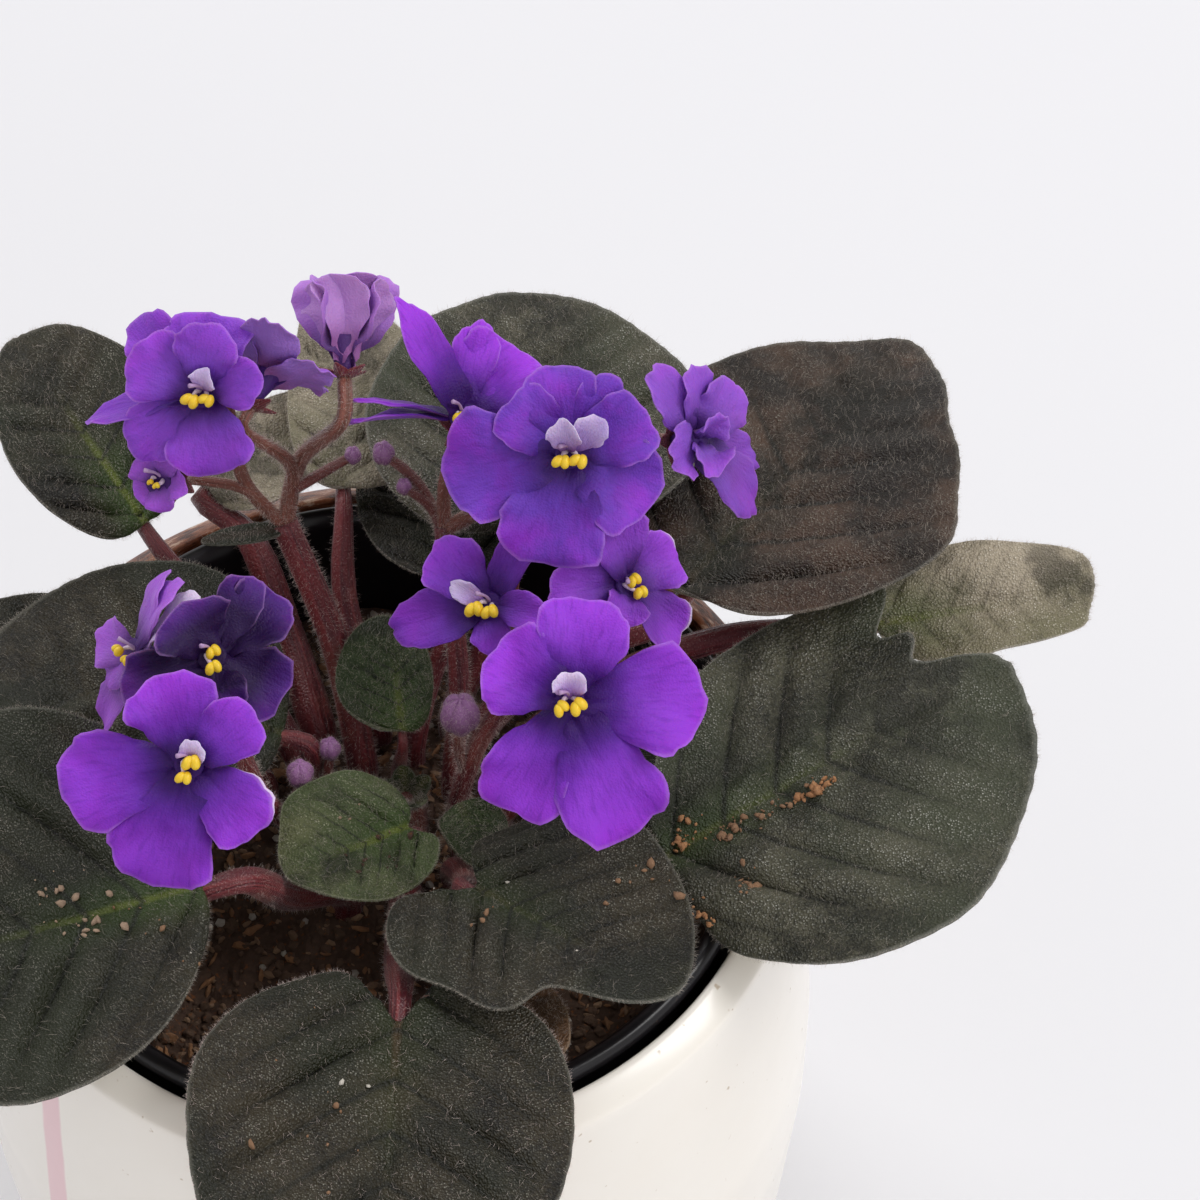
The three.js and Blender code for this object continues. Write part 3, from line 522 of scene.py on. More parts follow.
def spikes(piece, roots, directions, lengths, width, bend=0.0, tone=None):
    count = len(roots)
    directions = unit(directions)
    side = unit(np.cross(directions, piece.random.normal(size=(count, 3))))
    other = np.cross(directions, side)
    ways = [(math.cos(a) * side + math.sin(a) * other) * 0.5 * width for a in (0, 2.1, 4.2)]
    rings = [roots + way for way in ways]
    tips = roots + directions * lengths[:, None]
    if bend:
        middle = roots + directions * 0.5 * lengths[:, None]
        later = unit(directions + bend * unit(piece.random.normal(size=(count, 3))))
        rings += [middle + 0.8 * way for way in ways]
        tips = middle + later * 0.5 * lengths[:, None]
    points = np.stack([*rings, tips], 1)
    first = points.shape[1] * np.arange(count)[:, None]
    faces = [first + np.array(face) for face in (BENT_SPIKE if bend else STRAIGHT_SPIKE)]
    piece.add(points.reshape(-1, 3), faces, "hair", tone=tone)


def scattered(random, points, normals, quads, per_mm2):
    a, b, c, d = (points[quads[:, i]] for i in range(4))
    area = 0.5 * np.linalg.norm(np.cross(c - a, d - b), axis=1)
    count = int(area.sum() * per_mm2)
    chosen = random.choice(len(quads), count, p=area / area.sum())
    u, v = random.random((2, count, 1))
    shares = [(1 - u) * (1 - v), u * (1 - v), u * v, (1 - u) * v]
    roots = sum(s * points[quads[chosen, i]] for i, s in enumerate(shares))
    upright = sum(s * normals[quads[chosen, i]] for i, s in enumerate(shares))
    return roots, unit(upright)


def hairy(piece, points, normals, quads, per_mm2, length, width=0.045, lean=0.5, bend=0.0, comb=0.0,
          tone=None):
    roots, upright = scattered(piece.random, points, normals, quads, per_mm2)
    lengths = length * piece.random.uniform(0.5, 1.3, len(roots))
    directions = upright + lean * piece.random.normal(size=roots.shape) + comb
    inside = np.sum(directions * upright, 1, keepdims=True) < 0.2
    directions = np.where(inside, upright + 0.3 * directions, directions)
    spikes(piece, roots, directions, lengths, width, bend, tone)


print("a straight hair has", len(STRAIGHT_SPIKE), "triangles and a bent one", len(BENT_SPIKE))

# %% [markdown]
# A tube is a pile of rings with a point at either end. Stems, throats, buds, anthers and pots are all
# tubes, so one helper joins the rings with four-sided faces and closes both ends.

# %% Rings into a tube
def ring(radius, height, sides):
    angles = np.arange(sides) * ROUND / sides
    return np.stack([radius * np.cos(angles), radius * np.sin(angles), np.full(sides, height)], 1)


def closed_tube(rings, sides):
    spoke = np.arange(sides)
    after = (spoke + 1) % sides
    first = sides * np.arange(rings - 1)[:, None]
    walls = np.stack([first + spoke, first + after, first + sides + after, first + sides + spoke], -1)
    end, last = sides * rings, sides * (rings - 1)
    caps = [np.stack([np.full(sides, end), after, spoke], 1),
            np.stack([np.full(sides, end + 1), last + spoke, last + after], 1)]
    return walls.reshape(-1, 4), np.concatenate(caps)


print("a tube of 3 rings with 8 sides has", sum(map(len, closed_tube(3, 8))), "faces")

# %% [markdown]
# Stems follow a smooth curve through a few points, the same kind of curve as in the solids, with its
# points spread evenly along its length. Round each point stands a ring. The rings are carried along the
# curve without twisting, so the streaks run straight.

# %% A stem along a smooth curve
STEPS_PER_SPAN = 40
STEM_HAIR_TONE = np.array([0, 0.8, 0])


def smooth_curve(points, count):
    points = np.asarray(points, float)
    ends = [2 * points[0] - points[1], 2 * points[-1] - points[-2]]
    points = np.concatenate([[ends[0]], points, [ends[1]]])
    fine = []
    for p0, p1, p2, p3 in zip(points, points[1:], points[2:], points[3:]):
        d0, d1, d2 = (max(np.linalg.norm(b - a) ** 0.5, 1e-3) for a, b in ((p0, p1), (p1, p2), (p2, p3)))
        start = ((p1 - p0) / d0 - (p2 - p0) / (d0 + d1) + (p2 - p1) / d1) * d1
        end = ((p2 - p1) / d1 - (p3 - p1) / (d1 + d2) + (p3 - p2) / d2) * d1
        t = np.linspace(0, 1, STEPS_PER_SPAN, endpoint=False)[:, None]
        fine.append(p1 + start * t + (-3 * p1 + 3 * p2 - 2 * start - end) * t ** 2
                    + (2 * p1 - 2 * p2 + start + end) * t ** 3)
    fine = np.concatenate([*fine, points[-2:-1]])
    gone = np.append(0, np.cumsum(np.linalg.norm(np.diff(fine, axis=0), axis=1)))
    even = np.linspace(0, gone[-1], count)
    return np.stack([np.interp(even, gone, fine[:, i]) for i in range(3)], 1), gone[-1]


def stem(piece, points, radii, sides=12, step=1.6, hairs=2.0, hair_length=1.1, hair_width=0.048,
         material="stem_skin", tone=None):
    count = max(6, int(smooth_curve(points, 8)[1] / step))
    line, length = smooth_curve(points, count)
    tangents = unit(np.gradient(line, axis=0))
    way = np.linspace(0, 1, count)
    radius = np.interp(way, np.linspace(0, 1, len(radii)), radii)
    angles = np.arange(sides) * ROUND / sides
    side = unit(np.cross(tangents[0], [0.3, 1, 0.2]))
    rows, outward = [], []
    for centre, tangent, r in zip(line, tangents, radius):
        side = unit(side - tangent * (side @ tangent))
        other = np.cross(tangent, side)
        around = np.cos(angles)[:, None] * side + np.sin(angles)[:, None] * other
        outward.append(around)
        rows.append(centre + r * around)
    skin = np.concatenate(rows)
    walls, caps = closed_tube(count, sides)
    round_it = np.tile(np.sin(angles) + 0.4 * np.cos(angles), count)
    place = np.stack([np.repeat(way * length / 20, sides), round_it, np.repeat(radius, sides)], 1)
    place = np.concatenate([place, place[[0, -1]]])
    piece.add(np.concatenate([skin, line[[0, -1]]]), [walls, caps], material, place, tone)
    if hairs:
        hairy(piece, skin, np.concatenate(outward), walls, hairs, hair_length, hair_width, lean=0.35,
              tone=STEM_HAIR_TONE)


corner = [[0, 0, 0], [10, 0, 0], [10, 10, 0]]
print("a curve round a corner of 10 mm is", round(smooth_curve(corner, 8)[1], 1), "mm long")

# %% [markdown]
# Crumbs of soil lie on the pot's soil and on some leaves. Potting soil is dark peat with orange-brown bits
# of bark and a little white perlite. Each crumb is a dented ball of twenty faces, turned at random, and
# takes its shade from tone: how light, how orange and how white it is.

# %% Crumbs of soil
tree, shader = finish("peat", 0.95, specular_ior_level=0.2)
light_bit, orange_bit, white_bit = attribute(tree, "tone")
colour = mixed(tree, grain(tree, 700, 5), (46, 35, 30), (118, 94, 80))
colour = mixed(tree, soft_mask(tree, grain(tree, 1100, 2), 0.6, 0.7), colour, (132, 84, 54))
colour = mixed(tree, light_bit, colour, (168, 138, 112))
colour = mixed(tree, orange_bit, colour, mixed(tree, grain(tree, 900), (132, 86, 56), (208, 158, 116)))
colour = mixed(tree, white_bit, colour, mixed(tree, grain(tree, 900), (196, 188, 174), (236, 230, 220)))
dress(tree, shader, colour, grain(tree, 1500, 6, 0.7), 0.0006, 0.9)

CRUMB = np.array([[0, 0, 1], [0.9, 0, 0.4], [0.28, 0.85, 0.4], [-0.72, 0.53, 0.4], [-0.72, -0.53, 0.4],
                  [0.28, -0.85, 0.4], [0.72, 0.53, -0.4], [-0.28, 0.85, -0.4], [-0.9, 0, -0.4],
                  [-0.28, -0.85, -0.4], [0.72, -0.53, -0.4], [0, 0, -1]])
CRUMB_FACES = np.array([[0, 1, 2], [0, 2, 3], [0, 3, 4], [0, 4, 5], [0, 5, 1], [1, 6, 2], [2, 7, 3],
                        [3, 8, 4], [4, 9, 5], [5, 10, 1], [6, 7, 2], [7, 8, 3], [8, 9, 4], [9, 10, 5],
                        [10, 6, 1], [11, 7, 6], [11, 8, 7], [11, 9, 8], [11, 10, 9], [11, 6, 10]])


def crumbs(piece, centres, sizes, flat, tones):
    count, corners = len(centres), len(CRUMB)
    spin = [turn_z(a) @ turn_x(b) for a, b in piece.random.uniform(0, 360, (count, 2))]
    shapes = CRUMB[None] * piece.random.uniform(0.7, 1.25, (count, corners, 1)) * np.array(flat)
    points = np.stack([s @ t.T for s, t in zip(shapes, spin)])
    points = points * sizes[:, None, None] + centres[:, None, :]
    faces = (CRUMB_FACES[None] + corners * np.arange(count)[:, None, None]).reshape(-1, 3)
    piece.add(points.reshape(-1, 3), [faces], "peat", tone=np.repeat(tones, corners, axis=0))


def strew(piece, heaps, on_top):
    for x, y, spread_x, spread_y, count, tone in heaps:
        sizes = (0.16 + 0.75 * piece.random.random(count) ** 2.2) * (1 - 0.3 * tone[2])
        spots = piece.random.normal(size=(count, 2)) * [spread_x, spread_y] + [x, y]
        tones = np.tile(tone, (count, 1))
        crumbs(piece, on_top(spots[:, 0], spots[:, 1]), sizes, (1.2, 0.95, 0.65), tones)


print("a crumb has", len(CRUMB_FACES), "faces")

# %% [markdown]
# Leaf blades. Their outline is an oval that bulges back beside the petiole in two lobes, and it is the
# solids' outline with a finely scalloped rim. The height is the solids' too, and between the side veins
# the blade is puffed up a little, as if quilted, which fades out at the midrib and at the rim.

# %% Leaf form
FURROW_DEPTH = 0.5
LEAF_ARCH = 0.08
MIDRIB_DEPTH = 0.9
CLEFT = 0.3
JOINT_MARGIN = 1.5
LEAF_TAPER = 0.15
SIDE_VEINS = 6.5  # along the midrib
QUILT_DEPTH = 2.7
QUILTED_IN_FULL = 45  # shorter leaves are puffed up less
SCALLOPS = 47
SCALLOP_DEPTH = 0.0045


def leaf_outline(form, turn):
    length, lobe = form["length"], form["lobe"]
    from_back = math.pi - np.abs(np.where(turn > math.pi, turn - ROUND, turn))
    notch = (lobe - JOINT_MARGIN) * np.exp(-((from_back / form.get("cleft", CLEFT)) ** 2))
    width = np.where(turn <= math.pi, form["left"], form["right"])
    x = (length - lobe) / 2 + (length + lobe) / 2 * np.cos(turn) + notch
    y = width * np.sin(turn) * (1 - LEAF_TAPER * np.cos(turn))
    degrees = np.degrees(turn)
    bulges = (far * np.exp(-(((degrees - at) / wide) ** 2)) for at, far, wide in form.get("bulges", []))
    scallops = SCALLOP_DEPTH * (np.abs(np.sin(0.5 * SCALLOPS * turn)) - 0.6)
    stretch = 1 + 0.004 * np.sin(9 * turn) + sum(bulges, 0.0) / np.maximum(4, np.hypot(x, y)) + scallops
    return x * stretch, y * stretch


def leaf_height(form, x, y, rho, turn):
    along = x / form["length"]
    across = y / np.where(y > 0, form["left"], form["right"])
    bend = -LEAF_ARCH * form["length"] * along * along
    sides = form.get("cup", 0.1) * np.abs(y) * np.abs(across)
    midrib = -MIDRIB_DEPTH * np.exp(-((y / 4) ** 2)) * np.maximum(0, 1 - np.abs(along - 0.4))
    return bend + sides + midrib + form.get("wave", 1) * rho ** 3 * np.sin(3 * turn + form.get("phase", 0))


def vein_phase(form, x, y):
    return (x - 0.62 * np.abs(y) - 0.004 * y * y) / (form["length"] / SIDE_VEINS)


def quilt(form, x, y, rho):
    phase = vein_phase(form, x, y)
    puff = np.sin(math.pi * np.abs(phase - np.round(phase))) ** 0.7
    uneven = 0.72 + 0.45 * np.sin(1.7 * phase + 0.13 * y + form["heading"])
    fade = np.clip(np.abs(y) / 4, 0, 1) * (1 - rho ** 5)
    small = 0.3 * np.sin(0.9 * x + 1.3 * np.sin(0.6 * y)) * np.sin(0.8 * y + 0.4 * x) * (1 - rho ** 5)
    furrow = -FURROW_DEPTH * np.exp(-((y / 1.3) ** 2)) * (1 - rho ** 3)
    depth = QUILT_DEPTH * form.get("quilted", 1)
    height = depth * uneven * (puff - 0.6) * fade + small * form.get("crinkled", 1) + furrow
    return height * min(1, form["length"] / QUILTED_IN_FULL)


print("an oval leaf of 50 mm reaches", [round(float(v), 1) for v in leaf_outline(
    dict(length=50, lobe=3, left=20, right=20), np.array(0.0))], "mm from its petiole")

# %% [markdown]
# The petiole stands eight millimetres deep in the soil, bends up to the blade and runs on under it as the
# midrib, getting thinner. Its last points are set in the leaf's own frame, where x runs along the midrib.
# Long bent hairs lie combed along the face, shorter ones stand on the underside, and the rim has a fringe.

# %% Grow a leaf
SOIL_TOP = 112
ROOT_DEPTH = 8
BLADE_THICKNESS = 1.1
FACE_HAIRS, FACE_HAIR_LENGTH = 0.36, 1.8
UNDER_HAIRS, UNDER_HAIR_LENGTH = 0.15, 1.0
RIM_HAIRS = 9  # for each point of the rim


def rooted(x, y):
    return [[x, y, SOIL_TOP - ROOT_DEPTH], [x, y, SOIL_TOP], [x, y, SOIL_TOP + 7]]


def fringe(piece, upper, rim, inner):
    edge = upper[rim]
    outward = unit(edge - inner)
    chosen = piece.random.integers(0, len(rim), int(len(rim) * RIM_HAIRS))
    share = piece.random.random((len(chosen), 1))
    roots = edge[chosen] * share + edge[(chosen + 1) % len(rim)] * (1 - share)
    lean = 0.5 * piece.random.normal(size=roots.shape)
    spikes(piece, roots, outward[chosen] + lean, piece.random.uniform(0.4, 1.1, len(chosen)), 0.035)


def add_petiole(piece, form, red, to_world):
    def beneath(x, radius):
        middle = float(leaf_height(form, np.array(x), np.array(0.0), 0.0, 0.0))
        return [x, 0, middle - FURROW_DEPTH - 0.15 - radius]

    length = form["length"]
    thick = form.get("petiole", 2.6)
    thin = 0.4 * thick
    bend = to_world(np.array([[-0.12 * length, 0, -2.2], beneath(0.5, 0.5 * thick),
                              beneath(0.12 * length, thin)]))
    stem(piece, [*rooted(*form["root"]), *form.get("via", []), *bend],
         [thick, 0.92 * thick, 0.8 * thick, thin], sides=16, hairs=1.1, hair_length=1.0, hair_width=0.036,
         tone=np.array([0.0, red, form.get("petiole_brown", 0.3)]))
    rest = to_world(np.array([beneath(share * length, thin * (1 - share) + 0.3 * share)
                              for share in (0.1, 0.3, 0.5, 0.7, 0.88)]))
    stem(piece, rest, [thin, 0.3], sides=8, hairs=0, tone=np.array([0.4, red, 0.0]))


def grow_leaf(name, form):
    green, red, brown = form.get("tone", (0.25, 0.3, 0.0))
    piece = Piece(name.replace("leaf", "blade"), (green, red, brown))
    turned = turn_z(form["heading"]) @ turn_y(-form.get("tilt", 0)) @ turn_x(form.get("roll", 0))
    at = np.array(form["at"], float)
    length = form["length"]

    def to_world(points):
        return points @ turned.T + at

    def place(rho, turn):
        edge_x, edge_y = leaf_outline(form, turn)
        x, y = rho * edge_x, rho * edge_y
        return np.stack([x, y, leaf_height(form, x, y, rho, turn) + quilt(form, x, y, rho)], 1)

    def marks(rho, turn, middle):
        x, y = middle[:, 0], middle[:, 1]
        return np.stack([vein_phase(form, x, y), np.abs(y), rho], 1)

    def on_top(x, y):
        height = leaf_height(form, x, y, 0.5, 0.0) + quilt(form, x, y, np.hypot(x, y) / length)
        return to_world(np.stack([x, y, height + 0.5 * BLADE_THICKNESS + 0.05], 1))

    spokes = int(np.clip(length * 2.6, 48, 160))
    rings = int(np.clip(length * 0.45, 9, 28))
    upper, under, normals, quads, rim = blade(piece, place, spokes, rings, BLADE_THICKNESS,
                                              form.get("face", "leaf_face"), "leaf_back", marks, to_world)
    hairy(piece, upper, normals, quads, form.get("hairs", FACE_HAIRS), FACE_HAIR_LENGTH, 0.034, 0.7, 0.9,
          0.6 * turned[:, 0])
    hairy(piece, under, -normals, quads, UNDER_HAIRS, UNDER_HAIR_LENGTH, 0.04)
    fringe(piece, upper, rim, to_world(np.array([[0.45 * length, 0, 0]])))
    add_petiole(piece, form, red, to_world)
    strew(piece, form.get("litter", []), on_top)
    return piece.made("leaf", name)


print("petioles stand", ROOT_DEPTH, "mm deep in the soil")

# %% [markdown]
# Every leaf with where it joins its petiole, which way it heads, how it is tilted and rolled and how long
# and wide it is, in millimetres and degrees. root and via lead the petiole. bulges push the outline out or
# in, each with its angle, reach and spread. tone gives how green its middle is, how red its petiole and
# midrib are and how brown the whole blade is. quilted and crinkled deepen the relief, hairs is the count
# on a square millimetre, and litter is heaps of crumbs: place, spread, count and kind.

# %% All the leaves
BROWN, ORANGE, WHITE, DARK, TAN = (0.5, 0.3, 0), (0.3, 1, 0), (0, 0, 1), (0, 0, 0), (1, 0.2, 0.2)
leaf_forms = {
    "leaf_back_left": dict(
        at=[-37, 49, 150], heading=120, tilt=15, length=40, left=14, right=17, lobe=4, root=[-12, 14],
        via=[[-24, 33, 136]], phase=1, bulges=[[320, 2, 25], [215, -5, 30]], tone=(1.0, 0.4, 0),
        hairs=1.0),
    "leaf_back_small": dict(
        at=[-25, 61, 143], heading=36, tilt=5, length=26, left=9, right=12, lobe=3, root=[-10, 24],
        via=[[-14, 40, 125], [-20, 53, 138]], petiole=3.4, tone=(0.1, 0.6, 0), face="leaf_downy",
        hairs=1.6),
    "leaf_back": dict(
        at=[-3, 56, 147.5], heading=88, tilt=7, length=38, left=9, right=16, lobe=3, root=[0, 26],
        via=[[-4, 41, 134]], bulges=[[38, 4, 18]], face="leaf_downy", hairs=1.2),
    "leaf_back_centre": dict(
        at=[25, 42, 152], heading=84, tilt=8, length=46, left=25, right=32, lobe=5, root=[13, 26],
        via=[[22, 33, 138]], wave=1.4, phase=2, bulges=[[50, 2, 25]], tone=(0.15, 0.3, 0.1),
        face="leaf_face_painted_lit", hairs=1.1),
    "leaf_back_inner": dict(
        at=[15, 39, 141], heading=103, tilt=2, length=36, left=12, right=14, lobe=1, root=[6, 20],
        via=[[10, 28, 129]], petiole=2.2, bulges=[[35, 3, 20]]),
    "leaf_back_right": dict(
        at=[52, 26, 151], heading=48, tilt=6, roll=-8, length=62, left=26, right=30, lobe=3, root=[15, 19],
        via=[[32, 24, 137]], petiole=3, wave=1.3, phase=4,
        bulges=[[2, 3.5, 16], [362, 3.5, 16], [262, 5, 18], [318, -2, 14]], tone=(0.1, 0.3, 0.75),
        hairs=1.1),
    "leaf_right_curled": dict(
        at=[85, 20, 145], heading=1, tilt=8, roll=30, length=35, left=11, right=9, lobe=1, root=[19, 12],
        via=[[36, 21, 130], [60, 23, 140]], petiole=2.8,
        bulges=[[35, 2.5, 20], [282, -2.5, 16], [318, 2, 12]], tone=(0.6, 0.5, 0.0), face="leaf_downy",
        hairs=1.6, petiole_brown=0.0, quilted=0.3),
    "leaf_right_front": dict(
        at=[46, -18, 138], heading=22, tilt=18, length=63, left=29, right=38, lobe=3, root=[18, -3],
        via=[[31, -13, 127]], petiole=3, wave=1.5, phase=1,
        bulges=[[130, -11, 26], [92, -3, 16], [57, 5, 10], [42, -8, 8], [20, -11, 12], [200, 4, 15],
                [275, 2, 15]],
        tone=(0.5, 0.3, 0), face="leaf_face_painted_lit", quilted=0.75,
        litter=[[25.6, -4.3, 1.3, 0.5, 36, ORANGE], [22, -4.1, 0.8, 0.4, 14, ORANGE],
                [9.9, -2.2, 1.6, 0.8, 34, BROWN], [4, 0.9, 1.6, 1.2, 26, ORANGE],
                [7.2, -12.4, 1.2, 1.5, 18, BROWN], [-1.4, -12.8, 1.0, 2.0, 16, ORANGE],
                [18, -3.5, 4, 1.0, 22, BROWN]]),
    "leaf_front_centre": dict(
        at=[15, -26, 143], heading=-42, tilt=12, roll=-5, length=38, left=23, right=24, lobe=11,
        root=[11, -6], via=[[13, -17, 131]], petiole=2.4, wave=1.5, phase=3, cleft=0.22,
        bulges=[[316, -9, 22], [268, -5, 22], [135, -2, 25]],
        litter=[[20, 14, 4, 4, 10, BROWN], [4, -6, 2, 2, 6, BROWN], [10, 4, 8, 6, 5, WHITE]]),
    "leaf_front": dict(
        at=[0, -50, 142], heading=-97, tilt=-5, length=56, left=28, right=31, lobe=14, root=[3, -10],
        via=[[1, -29, 128]], petiole=3, wave=1.2, phase=0.5, cleft=0.2,
        bulges=[[148, -3.5, 22], [208, -2.5, 18]], tone=(0.15, 0.9, 0), quilted=0.85,
        litter=[[16, -10, 8, 7, 12, BROWN], [12, -6, 3, 3, 2, WHITE]]),
    "leaf_front_left": dict(
        at=[-30, -24, 147], heading=191, tilt=-2, roll=-6, length=58, left=30, right=38, lobe=3,
        root=[-7, -8], via=[[-16, -15, 129]], petiole=3.2, wave=1.6, phase=1.6,
        bulges=[[145, -8, 30], [75, 2, 15], [240, -3, 20]], tone=(0.8, 0.3, 0),
        litter=[[21.4, -3.7, 2.5, 2, 16, TAN], [18, 2.8, 3, 1.5, 12, TAN], [9, 5, 3, 4, 8, BROWN],
                [3, 13, 1.2, 1.2, 2, WHITE]]),
    "leaf_left": dict(
        at=[-17, 9, 142], heading=165, tilt=9, length=52, left=26, right=26, lobe=2, root=[-14, 7],
        petiole=2.4, wave=1.2, phase=0.8, bulges=[[335, -2, 20]]),
    "leaf_far_left": dict(
        at=[-40, 24, 137], heading=170, tilt=3, length=40, left=15, right=15, lobe=4, root=[-20, 15],
        via=[[-30, 22, 127]]),
    "leaf_right_inner": dict(
        at=[32, 7, 131], heading=5, tilt=8, length=24, left=11, right=12, lobe=3, root=[20, 4], petiole=2),
    "leaf_young_front": dict(
        at=[3, -9, 137], heading=203, tilt=8, length=21, left=12, right=13, lobe=5, root=[4, -3],
        petiole=1.6, cleft=0.2, bulges=[[298, 2, 18], [192, -2, 14]], tone=(1.0, 0.2, 0),
        face="leaf_young", hairs=1.8, quilted=1.7, crinkled=3,
        litter=[[4.6, 2.9, 2.5, 2, 9, DARK], [8.9, 4.3, 3, 2, 8, DARK], [6, -4, 3, 3, 4, TAN]]),
    "leaf_young_back": dict(
        at=[4, 13, 136], heading=92, tilt=9, length=21, left=10, right=6, lobe=2, root=[3, 14],
        petiole=1.5, tone=(0.7, 0.2, 0), hairs=1.8, face="leaf_green", quilted=1.7, crinkled=3),
    "leaf_young_right": dict(
        at=[13, -1, 130], heading=-75, tilt=10, length=12, left=6, right=5, lobe=1, root=[12, -1],
        petiole=1.2, hairs=3, face="leaf_green", quilted=2, crinkled=3),
    "leaf_withered": dict(
        at=[12, -35, 131], heading=-50, tilt=14, length=22, left=7, right=7, lobe=1, root=[13, -14],
        via=[[12, -26, 124]], petiole=1.4, cup=0.3, wave=1.2, tone=(0, 0.6, 0.2), hairs=4,
        face="leaf_dry"),
}
for name, form in leaf_forms.items():
    grow_leaf(name, form)
print("leaves:", len(leaf_forms), "with", sum(n for _, n in made_pieces), "triangles")

# %% [markdown]
# Blooms. In a bloom's own frame the petals open round z, which points where the bloom faces. Each petal
# has its turn round the bloom, its length and width, its lift out of the bloom's plane, the twist about
# its own length and how much it flares. The two upper petals stand in front of the others, so each has
# its own layer. Small waves along the rim are drawn for each petal anew.

# %% Petal form
PETAL_LAYERS = [0.5, 0.9, -0.3, 0.1, -0.1]
PETAL_MIDDLE = 0.55
PETAL_HOLLOW = 0.12
PETAL_RUFFLE = 0.05
PETAL_REFLEX = 0.14
PETAL_THICKNESS = 0.5
RIM_WAVES = [(5, 0.045, 3), (11, 0.024, 4), (23, 0.012, 6)]  # how many, how deep, how near the rim
PETAL_USUAL = [0, 0, 0, 8, 0, 0.52]  # turn, length, width, lift, twist and flare, where a petal gives none


def bloom_frame(form):
    azimuth, elevation = form["face"]
    return turn_z(azimuth + 90) @ turn_x(90 - elevation), np.array(form["at"], float)


def add_petal(piece, form, shape, layer, face, back, notch=0.0, cup=PETAL_HOLLOW, pale_rim=None):
    turn_about, length, width, lift, twist, flare = [*shape, *PETAL_USUAL[len(shape):]]
    reflex = form.get("reflex", PETAL_REFLEX)
    turned = turn_z(turn_about) @ turn_y(-lift) @ turn_x(twist)
    axes, at = bloom_frame(form)
    odd = piece.random.uniform(0, ROUND, 3)

    def place(rho, turn):
        reach = np.where(np.cos(turn) > 0, 1 - PETAL_MIDDLE, PETAL_MIDDLE)
        tip = 1 - notch * np.exp(-((np.where(turn > math.pi, turn - ROUND, turn) / 0.22) ** 2)) * rho ** 3
        edge = sum((deep * np.sin(many * turn + start) * rho ** near
                    for (many, deep, near), start in zip(RIM_WAVES, odd)), 1.0)
        x = length * (PETAL_MIDDLE + rho * reach * np.cos(turn) * tip * edge)
        y = 0.5 * width * rho * np.sin(turn) * (1 + flare * np.cos(turn)) * edge
        y *= 1 - form.get("point", 0) * rho * np.maximum(0, np.cos(turn)) ** 2
        hollow = cup * width * (2 * y / width) ** 2
        ruffle = PETAL_RUFFLE * width * rho ** 2 * np.sin(4 * turn + turn_about)
        ruffle += form.get("frill", 1) * 0.03 * width * rho ** 4 * np.sin(9 * turn + odd[2])
        ruffle -= 0.07 * width * rho ** 5
        fold = 0.07 * width * np.sin(ROUND * (0.7 * x / length + 0.6 * y / width) + odd[2]) * x / length
        return np.stack([x, y, hollow + ruffle + fold - reflex * length * (x / length) ** 2], 1)

    def marks(rho, turn, middle):
        x, y = middle[:, 0] / length, 2 * middle[:, 1] / width
        rim = rho
        if pale_rim is not None:
            rim = rho * (1 + 0.11 * np.exp(-(((np.degrees(turn) - pale_rim) / 38) ** 2)))
        return np.stack([x, y / (0.35 + x), rim], 1)

    def to_world(points):
        return (points @ turned.T + [0, 0, layer]) @ axes.T + at

    blade(piece, place, 40, 12, PETAL_THICKNESS, face, back, marks, to_world, edge=0.93)


print("petals are", PETAL_THICKNESS, "mm thick and lie", PETAL_LAYERS, "mm in front of the bloom's middle")

# %% [markdown]
# A bloom ends behind in a narrow tube, which widens into the throat. Some blooms have small extra petals
# in their middle, and those shorter than lilac_under are whitish on both sides.

# %% Build a bloom
COROLLA_TUBE = 5
TUBE_SIDES = 20
TUBE_HEIGHTS = [-COROLLA_TUBE, -4.6, -3, -1, 0.2, 0.9, 1.0]
TUBE_RADII = [0.85, 1.0, 1.3, 1.9, 2.3, 2.35, 1.9]
SHORT_PETAL = 9


def add_tube(piece, form):
    axes, at = bloom_frame(form)
    rings = [ring(r, z, TUBE_SIDES) for r, z in zip(TUBE_RADII, TUBE_HEIGHTS)]
    points = np.concatenate([*rings, [[0, 0, -COROLLA_TUBE], [0, 0, 0.6]]]) @ axes.T + at
    place = np.tile([0.05, 0.0, 0.2], (len(points), 1))
    piece.add(points, closed_tube(len(rings), TUBE_SIDES), "petal_face", place)


def grow_bloom(name, form):
    piece = Piece(form.get("piece", name.replace("bloom", "flower")), form.get("tone", (0.3, 0.1, 0.0)))
    notches, pale_rims = form.get("notches", {}), form.get("pale_rims", {})
    for i, (shape, layer) in enumerate(zip(form["petals"], PETAL_LAYERS)):
        add_petal(piece, form, shape, layer - form.get("sunk", 0), "petal_face", "petal_back",
                  notches.get(i, 0.0), form.get("cupped", PETAL_HOLLOW), pale_rims.get(i))
    for shape in form.get("petaloids", []):
        lilac = shape[1] < form.get("lilac_under", SHORT_PETAL)
        faces = ("petaloid", "petaloid") if lilac else ("petal_face", "petal_back")
        add_petal(piece, form, shape, 0, *faces, cup=0.3 if shape[1] < SHORT_PETAL else PETAL_HOLLOW)
    add_tube(piece, form)
    return piece.made("petal", name)


print("the throat and its tube are", TUBE_HEIGHTS[-1] - TUBE_HEIGHTS[0], "mm long")

# %% [markdown]
# Every bloom with its place, the azimuth and elevation that it faces, its petals and its small inner ones.
# tone gives how blue, pale and dark it is. frill, cupped, point and reflex shape all its petals, notches
# and pale_rims single ones, and sunk sets them deeper. anthers is their size, anther_turn their turn, and
# set_back leads the pedicel in from behind.

